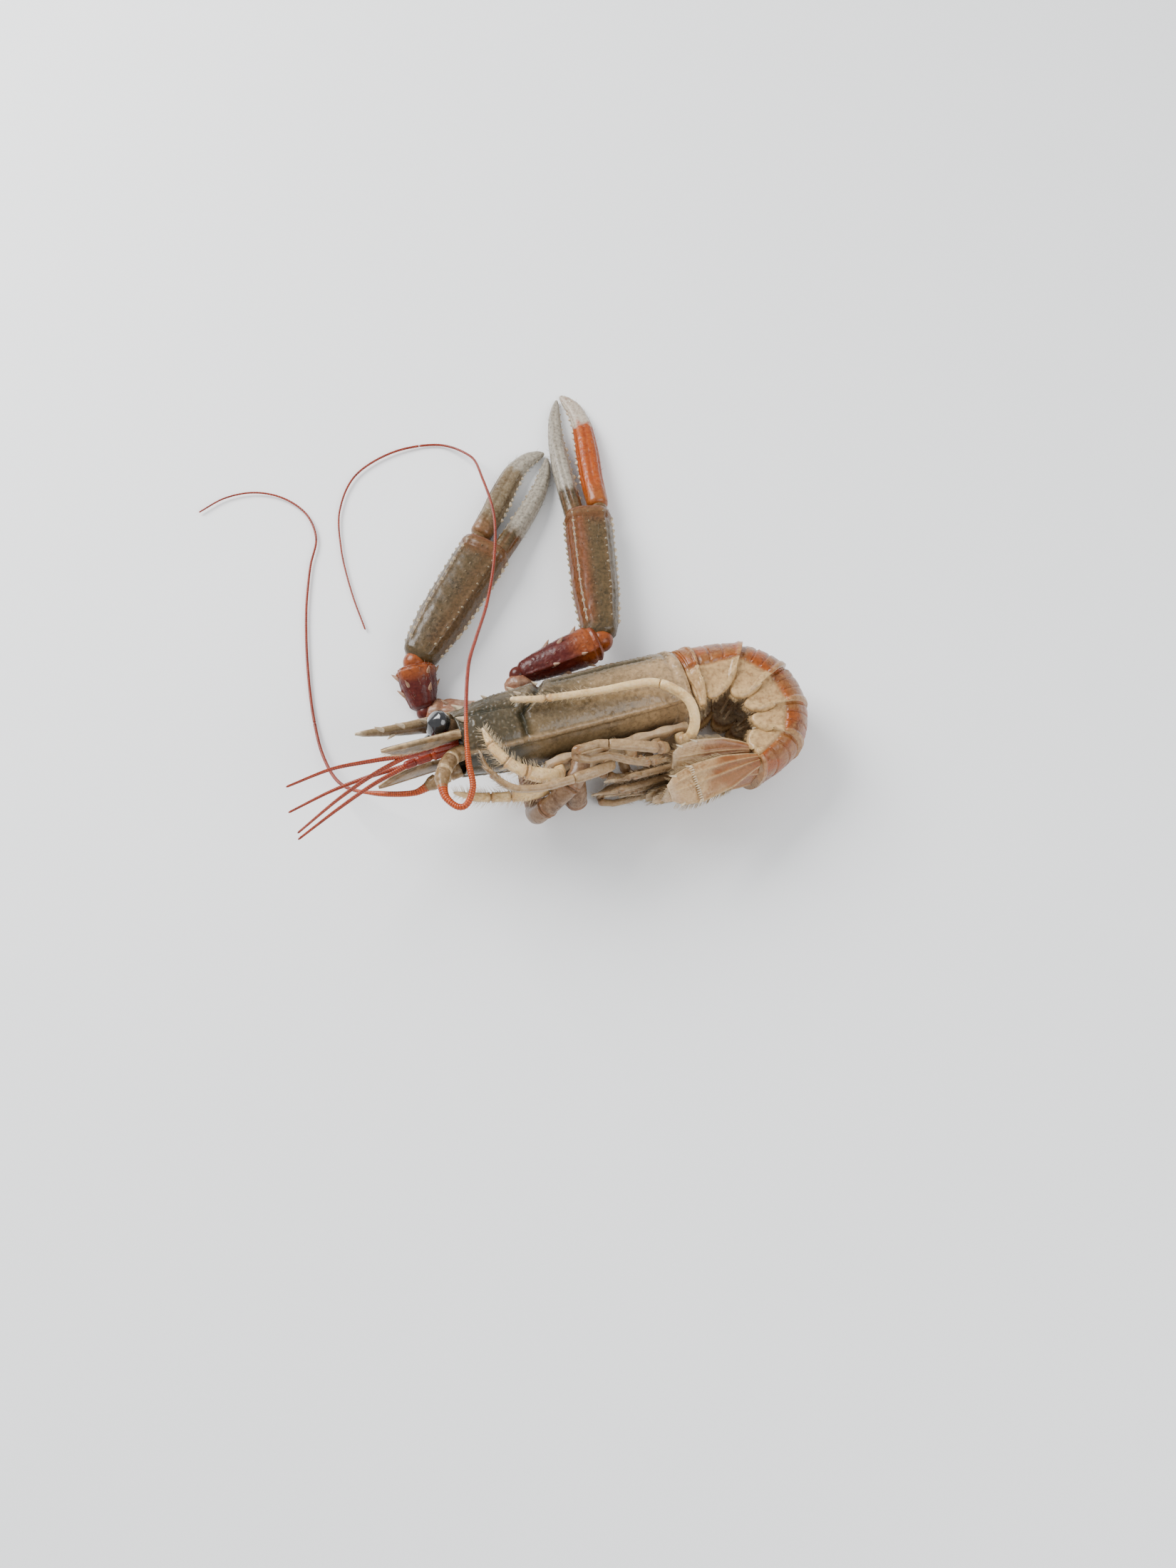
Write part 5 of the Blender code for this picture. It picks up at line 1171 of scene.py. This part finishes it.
CURL_CENTRE = (-37.5, -9.3)
CURL_RADIUS = 16.2
TAIL_JOINTS = (
    ((CARAPACE_REAR - GAP, 8.2), (-27.6, -8.2), 9.7),
    ((-30.6, 8.0), (-29.0, -7.6), 10.2),
    (22.0, (-34.8, -6.0), 10.4),
    (63.0, (-37.3, -9.3), 10.2),
    (100.0, (-38.6, -12.4), 9.7),
    (137.0, (-38.0, -15.6), 8.9),
    (180.0, (-35.4, -18.4), 7.6),
)
BELLY_SHARE = 0.60
PLEURON_SHARE = 0.74
PLEURON_THICKNESS = 1.0
TAIL_ROWS = 120
FIRST_TAIL_ROWS = 40
SWIMMERET_SEGMENTS = (2, 3, 4, 5)
SWIMMERET_SEED = 80
PADDLE_HAIRS = 70
PLATE_HAIRS = 110
PLATE_SEED = 60
PLATE_INSET = 12

# Share along the segment, length and half width of each paddle under it
PADDLES = ((0.36, 0.30, 1.5), (0.64, 0.36, 1.3))

# How many points each stretch of half a tail section has: back, side plate, its edge, its inside, belly
TAIL_COLUMNS = (44, 30, 8, 14, 12)


def tail_joint(index):
    """Outer end, inner end and half width of the tail at one joint, in (s, d)."""
    outer, inner, width = TAIL_JOINTS[index]
    if not isinstance(outer, tuple):
        angle = math.radians(outer)
        s, d = CURL_CENTRE
        outer = (s - CURL_RADIUS * math.sin(angle), d + CURL_RADIUS * math.cos(angle))
    return np.array(outer), np.array(inner), width


def tail_section(index, t):
    """The tail's section within a segment: outer end, inner end and half width."""
    count = len(TAIL_JOINTS)
    rows = [tail_joint(min(max(index + k, 0), count - 1)) for k in (-1, 0, 1, 2)]
    if index == 0:
        rows[0] = (rows[0][0] + (4.0, 0.0), rows[0][1] + (4.0, 0.0), rows[0][2])
    if index + 2 >= count:
        rows[3] = (rows[3][0] + (8.0, 1.5), rows[3][1] + (6.0, 1.0), rows[3][2])
    p, q, r, w = [row[0] for row in rows]
    curve = (2 * p - 5 * q + 4 * r - w) * t ** 2 + (3 * q - p - 3 * r + w) * t ** 3
    outer = 0.5 * (2 * q + (r - p) * t + curve)
    inner = rows[1][1] + (rows[2][1] - rows[1][1]) * t
    return outer, inner, rows[1][2] + (rows[2][2] - rows[1][2]) * t


def along_plane(count, *knots):
    """Evenly spread points of a bent line in a plane."""
    share = (np.arange(count) + 1) / (count + 1)
    return along_line(np.array(knots), share)


def tail_half(width, depth, margin):
    """Half a tail section from mid back to mid belly: (l, down) points, in the stretches above."""
    back, side, edge, inside, belly = TAIL_COLUMNS
    angle = np.linspace(0, 1.45, back)
    over = np.stack([np.sin(angle) ** 0.9 * width, (1 - np.cos(angle)) * depth * 0.52], axis=1)
    plate = along_plane(side, over[-1], (width * 0.985, depth * 0.56), (width * 0.955, depth * 0.66),
                        (width * 0.86, margin))
    lip = np.linspace(0, math.pi, edge + 2)[1:-1]
    half_lip = PLEURON_THICKNESS / 2
    rim = np.stack([width * 0.86 - half_lip + half_lip * np.cos(lip), margin + 0.35 * np.sin(lip)], axis=1)
    low = depth * BELLY_SHARE
    hollow = along_plane(inside, (width * 0.86 - PLEURON_THICKNESS, margin), (width * 0.80, low))
    under = along_plane(belly, (width * 0.76, low), (0.0, low * 1.02))
    return np.concatenate([over, plate, rim, hollow, under])


def tail_skin(index, share):
    """Rows of points round one tail ring, one row for each share of its length."""
    rows = []
    for t in share:
        outer, inner, width = tail_section(index, t)
        depth = np.linalg.norm(outer - inner)
        lobe = math.sqrt(max(0.0, 1.0 - ((t - 0.5) / 0.52) ** 2))
        margin = depth * (PLEURON_SHARE + (1 - PLEURON_SHARE) * lobe)
        half = tail_half(width * (0.965 + 0.055 * t), depth, margin)
        place = outer - unit(outer - inner) * half[:, 1:2]
        left, right = [body(place[:, 0], side * half[:, 0], place[:, 1]) for side in (LEFT, RIGHT)]
        rows.append(np.concatenate([left, right[::-1]]))
    return np.array(rows)


def tail_relief(number, along, skin):
    """A tail ring's grooves, borders and grains, in millimetres, and its marks."""
    back, side, edge = TAIL_COLUMNS[:3]
    column = np.arange(sum(TAIL_COLUMNS))
    column = np.concatenate([column, column[::-1]])[None]
    over = 1 - ramp(column, back - 3, back + 3)
    plate = ramp(column, back, back + 4) * (1 - ramp(column, back + side + edge - 1, back + side + edge + 1))
    low_plate = ramp(column, back + 0.45 * side, back + 0.7 * side) * plate
    border = np.maximum(hump(column, back + side + 1, 5.5), 0.9 * ramp(along, 0.84, 0.92) * plate)
    lift = over * (0.34 * ramp(along, 0.90, 0.97) - 0.35 * (1 - ramp(along, 0.10, 0.20)))
    lift = lift - over * (0.30 * hump(along, 0.38, 0.024) + 0.26 * hump(along, 0.66, 0.022) * (number > 1))
    lift = lift - 0.40 * hump(column, back + 2, 2.2) * ramp(along, 0.16, 0.26) + 0.34 * border
    lift = lift + (0.45 * ramp(along, 0.45, 0.95) - 0.40 * (1 - ramp(along, 0.05, 0.3))) * low_plate
    lift = lift + 0.07 * np.maximum(relief(skin, 0.6, number), 0) ** 2 + 0.08 * relief(skin, 3.0, number + 9)
    spots = ramp(relief(skin, 4.2, number + 20), 0.1, 0.55) * over
    hinge = hump(column, back + 1, 5.5) * ramp(along, 0.25, 0.7)
    waist = hump(along, 0.38, 0.045) + hump(along, 0.66, 0.045)
    marks = {
        "rim": np.clip(0.95 * border + 0.4 * ramp(along, 0.93, 0.98) * over + 0.80 * plate, 0, 1),
        "stain": np.clip((0.8 * spots + 0.15 * waist * over + 0.8 * hinge) * (1 - border), 0, 1),
        # The tip mark here is painted light on the inside of the side plates and on the belly, which lie in
        # the shade of the curled tail.
        "tip": ramp(column, back + side + edge, back + side + edge + 4),
    }
    return lift, marks


def make_tail_segment(number):
    """One tail ring: tergite with its cross grooves, and rounded side plates with thick pale borders."""
    shape = Shape()
    share = np.linspace(-0.04, 1.05, FIRST_TAIL_ROWS if number == 1 else TAIL_ROWS)
    skin = tail_skin(number - 1, share)
    lift, marks = tail_relief(number, share[:, None], skin)
    skin = skin + outward(skin) * lift[..., None]
    shape.grid(skin, **marks)
    back, side, edge = TAIL_COLUMNS[:3]
    add_plate_fringe(shape, skin, back + side + edge // 2, number)
    if number in SWIMMERET_SEGMENTS:
        add_swimmerets(shape, number - 1)
    shape.finish("tail_segment_" + str(number), "tail_shell", "tail_shell")


def add_plate_fringe(shape, skin, column, number):
    """Fine hairs along the edges of the side plates."""
    draw = np.random.default_rng(PLATE_SEED + number)
    for edge, inner in ((column, column - PLATE_INSET), (-1 - column, PLATE_INSET - 1 - column)):
        for _ in range(PLATE_HAIRS):
            i = int(draw.integers(4, len(skin) - 4))
            root = skin[i, edge]
            away = unit(root - skin[i, inner])
            swing = unit(skin[i + 3, edge] - skin[i - 3, edge]) * draw.uniform(-0.3, 0.5)
            shape.hair(root - away * 0.1, away + swing, draw.uniform(0.5, 1.2), rim=1.0)


def add_swimmerets(shape, index):
    """Two fringed paddles on each side under a tail segment, pointing into the curl."""
    draw = np.random.default_rng(SWIMMERET_SEED + index)
    for side in (LEFT, RIGHT):
        for t, length, half_width in PADDLES:
            outer, inner, width = tail_section(index, t)
            down = inner - outer
            root, tip = outer + down * (BELLY_SHARE - 0.04), outer + down * (BELLY_SHARE + length)
            share = stations(40)
            path = root + (tip - root) * share[:, None]
            line = body(path[:, 0], side * width * 0.42, path[:, 1])
            half = np.interp(share, (0, 0.35, 0.75, 1), (0.9, half_width, half_width * 0.8, 0.4))
            flat = np.cross(unit(line[-1] - line[0]), LEFTWARD)
            sweep = Sweep(line, flat, half * domed(share, 6, 0, 1), 0.34)
            # The whole paddle takes the tip paint: painted light that brightens it where it lies in the shade
            # under the tail.
            shape.grid(sweep.grid(around=36)[0], tip=1.0)
            for _ in range(PADDLE_HAIRS):
                edge, away, ahead = sweep.at(draw.uniform(0.3, 1.0), 0 if draw.random() < 0.5 else 180)
                shape.hair(edge, away + ahead * 1.1, draw.uniform(0.8, 1.5), rim=1.0)


# Tail fan

# Share of the length, half widths to the left and right, and a factor for the thickness
TELSON_ROWS = (
    (0.0, 4.6, 4.6, 1.2), (0.15, 5.6, 5.6, 1.1), (0.6, 5.2, 5.2, 1.05), (0.9, 4.7, 4.7, 1.0),
    (0.97, 3.9, 3.9, 0.8), (1.0, 2.6, 2.6, 0.6))
BLADE_ROWS = (
    (0.0, 1.4, 1.4, 1.6), (0.1, 2.2, 2.0, 1.4), (0.35, 3.6, 3.6, 1.1), (0.7, 4.0, 4.2, 1.0),
    (0.9, 3.2, 3.4, 0.9), (1.0, 1.6, 1.8, 0.6))

# Rows and thickness of a blade, root, tip, degrees by which it is turned up on edge, places of its ridges,
# place of its seam or none, and seed
FAN_BLADES = {
    "telson": (
        TELSON_ROWS, 1.5, (-36.3, 0, -23.6), (-15.6, 0, -22.6), 0, (-0.62, 0.62), None, 201),
    "uropod_inner_left": (
        BLADE_ROWS, 1.0, (-35.1, 5.6, -19.6), (-17.5, 7.4, -18.2), 45, (0.0, 0.25), None, 211),
    "uropod_outer_left": (
        BLADE_ROWS, 1.0, (-35.8, 6.6, -22.8), (-13.6, 9.2, -25.6), 70, (0.0, 0.5), 0.72, 221),
    "uropod_inner_right": (
        BLADE_ROWS, 1.0, (-35.6, -3.4, -21.4), (-15.0, -6.2, -21.0), 0, (0.0, -0.25), None, 209),
    "uropod_outer_right": (
        BLADE_ROWS, 1.0, (-35.1, -4.8, -19.6), (-14.4, -8.0, -19.4), 0, (0.0, -0.5), 0.72, 219),
}
FRINGE_HAIRS = 340
FRINGE_START = 0.35
FRINGE_END = 0.97
BLADE_SPINES = ((-1, 0.72), (1, 0.72), (-1, 0.9), (1, 0.9))
BLADE_RIDGE = 0.30
BLADE_STRIPE = 0.04
SEAM_DEPTH = 0.30
SEAM_TEETH = 15


class Blade:
    """A blade of the tail fan: its axes, middle line, widths and thickness."""

    def __init__(self, rows, thickness, root, tip, turn):
        root, tip = body_points(root, tip)
        self.axis = unit(tip - root)
        wide = LEFTWARD * math.cos(math.radians(turn)) + BACKWARD * math.sin(math.radians(turn))
        self.side = unit(wide - self.axis * wide.dot(self.axis))
        self.up = np.cross(self.side, self.axis)
        self.share = np.linspace(0, 1, 130)
        self.across = np.linspace(-1, 1, 60)
        left, right, scale = eased(rows, self.share, 0.025)
        self.middle, self.half = (left - right) / 2, (left + right) / 2
        self.ground = root + (tip - root) * self.share[:, None]
        self.thick = thickness * scale[:, None] / 2 * np.maximum(1 - np.abs(self.across[None]) ** 6, 0.3)

    def row(self, share):
        """The row at a share of the length."""
        return int(share * (len(self.share) - 1))

    def at(self, i, place):
        """A point on a row, at a share of the half width."""
        return self.ground[i] + self.side * (self.middle[i] + self.half[i] * place)

    def face(self, direction, lift):
        """The upper or lower skin, raised by a lift."""
        x = self.middle[:, None] + self.half[:, None] * self.across[None]
        height = direction * (self.thick + lift)
        return self.ground[:, None] + self.side * x[..., None] + self.up * height[..., None]


def make_blade(name, rows, thickness, root, tip, turn, ridges, seam, seed):
    """A blade of the tail fan with ridges at shares of its width, and a seam where it has one."""
    shape = Shape()
    blade = Blade(rows, thickness, root, tip, turn)
    along, across = blade.share[:, None], blade.across[None]
    raised = sum(hump(across, place, 0.07) for place in ridges) * (1 - ramp(along, 0.8, 1.0))
    lift = BLADE_RIDGE * raised + BLADE_STRIPE * np.cos(across * 60) * ramp(along, 0.5, 0.9)
    if seam is not None:
        lift = lift - SEAM_DEPTH * hump(along, seam + 0.03 * across ** 2, 0.012)
    upper, lower = [blade.face(direction, lift) for direction in (1, -1)]
    skin = np.concatenate([upper, lower[:, ::-1]], axis=1)
    edge = ramp(np.abs(np.concatenate([across, across[:, ::-1]], axis=1)), 0.86, 1.0)
    lines = np.concatenate([raised, raised[:, ::-1]], axis=1)
    blush = (1 - ramp(along + 0.10 * relief(skin, 3.0, seed), 0.38, 0.66)) * (1 - 0.6 * edge)
    shape.grid(skin, rim=np.clip(0.7 * edge + 0.5 * lines, 0, 1), tip=0.4 * ramp(along, 0.9, 1.0),
               stain=np.clip(0.85 * blush + 0.25 * ramp(relief(skin, 2.4, seed), 0.1, 0.6), 0, 1))
    add_blade_fringe(shape, blade, np.random.default_rng(seed))
    add_blade_spines(shape, blade, seam)
    shape.finish(name, "tail_fan", "tail_fan")


def add_blade_fringe(shape, blade, draw):
    """Hairs along the sides and across the end of a blade."""
    for _ in range(FRINGE_HAIRS):
        t = draw.uniform(FRINGE_START, 1.0)
        at_end = t > FRINGE_END
        place = draw.uniform(-1, 1) if at_end else (1 if draw.random() < 0.5 else -1)
        root = blade.at(blade.row(1.0 if at_end else t), place * 0.98)
        ahead = 0.9 if abs(place) < 1 else 0.75
        direction = blade.axis * ahead + blade.side * 0.6 * place + blade.up * draw.uniform(-0.12, 0.12)
        shape.hair(root, direction, draw.uniform(0.9, 1.8), 0.04, rim=0.9)


def add_blade_spines(shape, blade, seam):
    """Spines at the sides of a blade, and a row of teeth at its seam where it has one."""
    for place, t in BLADE_SPINES:
        root = blade.at(blade.row(t), place * 0.92)
        shape.spike(root, blade.axis + blade.side * 0.45 * place, 1.3, 0.4, sides=10, rows=7, tip=0.8)
    if seam is not None:
        i = blade.row(seam)
        for place in np.linspace(-0.85, 0.85, SEAM_TEETH):
            root = blade.at(i, place) + blade.up * blade.thick[i].max()
            shape.spike(root, blade.axis + blade.up * 0.3, 0.7, 0.22, sides=8, rows=6, tip=0.8)


# Floor, light and camera


def make_camera():
    """The photo's camera: its centre looks at a point of the floor."""
    data = bpy.data.cameras.new("camera")
    data.sensor_width = SENSOR
    data.lens = FOCAL_PIXELS / PHOTO_HEIGHT * SENSOR
    data.clip_start = CAMERA_NEAREST
    camera = add_object("camera", data)
    back = Vector((0.0, -math.cos(CAMERA_ELEVATION), math.sin(CAMERA_ELEVATION)))
    camera.location = Vector(-PLAN_CENTRE * MM) + back * (CAMERA_DISTANCE * MM)
    camera.rotation_euler = (-back).to_track_quat("-Z", "Y").to_euler()
    bpy.context.scene.camera = camera


def make_floor():
    """A plain pale floor."""
    mesh = bpy.data.meshes.new("floor")
    corners = [(x * FLOOR_HALF, y * FLOOR_HALF, 0) for x, y in ((-1, -1), (1, -1), (1, 1), (-1, 1))]
    mesh.from_pydata(corners, [], [(0, 1, 2, 3)])
    material, tree, shader, place = new_material("pale_floor")
    tree.links.new(mix(tree, mottle(tree, place, 30.0, 3.0), *FLOOR_COLOURS), shader.inputs["Base Color"])
    shader.inputs["Roughness"].default_value = FLOOR_ROUGHNESS
    mesh.materials.append(material)
    floor = add_object("floor", mesh)


def make_light():
    """A key lamp behind and to the left, a weaker fill lamp opposite, and a pale world."""
    for name, (place, power, size) in LAMPS.items():
        data = bpy.data.lights.new(name, "AREA")
        data.energy = power
        data.size = size
        lamp = add_object(name, data)
        lamp.location = place
        lamp.rotation_euler = (-Vector(place)).to_track_quat("-Z", "Y").to_euler()
    world = bpy.data.worlds.new("world")
    world.use_nodes = True
    sky = world.node_tree.nodes["Background"]
    sky.inputs["Color"].default_value = SKY_COLOUR
    sky.inputs["Strength"].default_value = SKY_STRENGTH
    bpy.context.scene.world = world


def build():
    """Make every piece."""
    make_camera()
    make_floor()
    make_light()
    make_carapace()
    make_sternum()
    for side in (LEFT, RIGHT):
        for make in (make_eye, make_antennule, make_scale, make_feeler):
            make(side)
    make_mouth_limbs()
    make_legs()
    make_claws()
    for number in range(1, 7):
        make_tail_segment(number)
    for name, values in FAN_BLADES.items():
        make_blade(name, *values)


build()
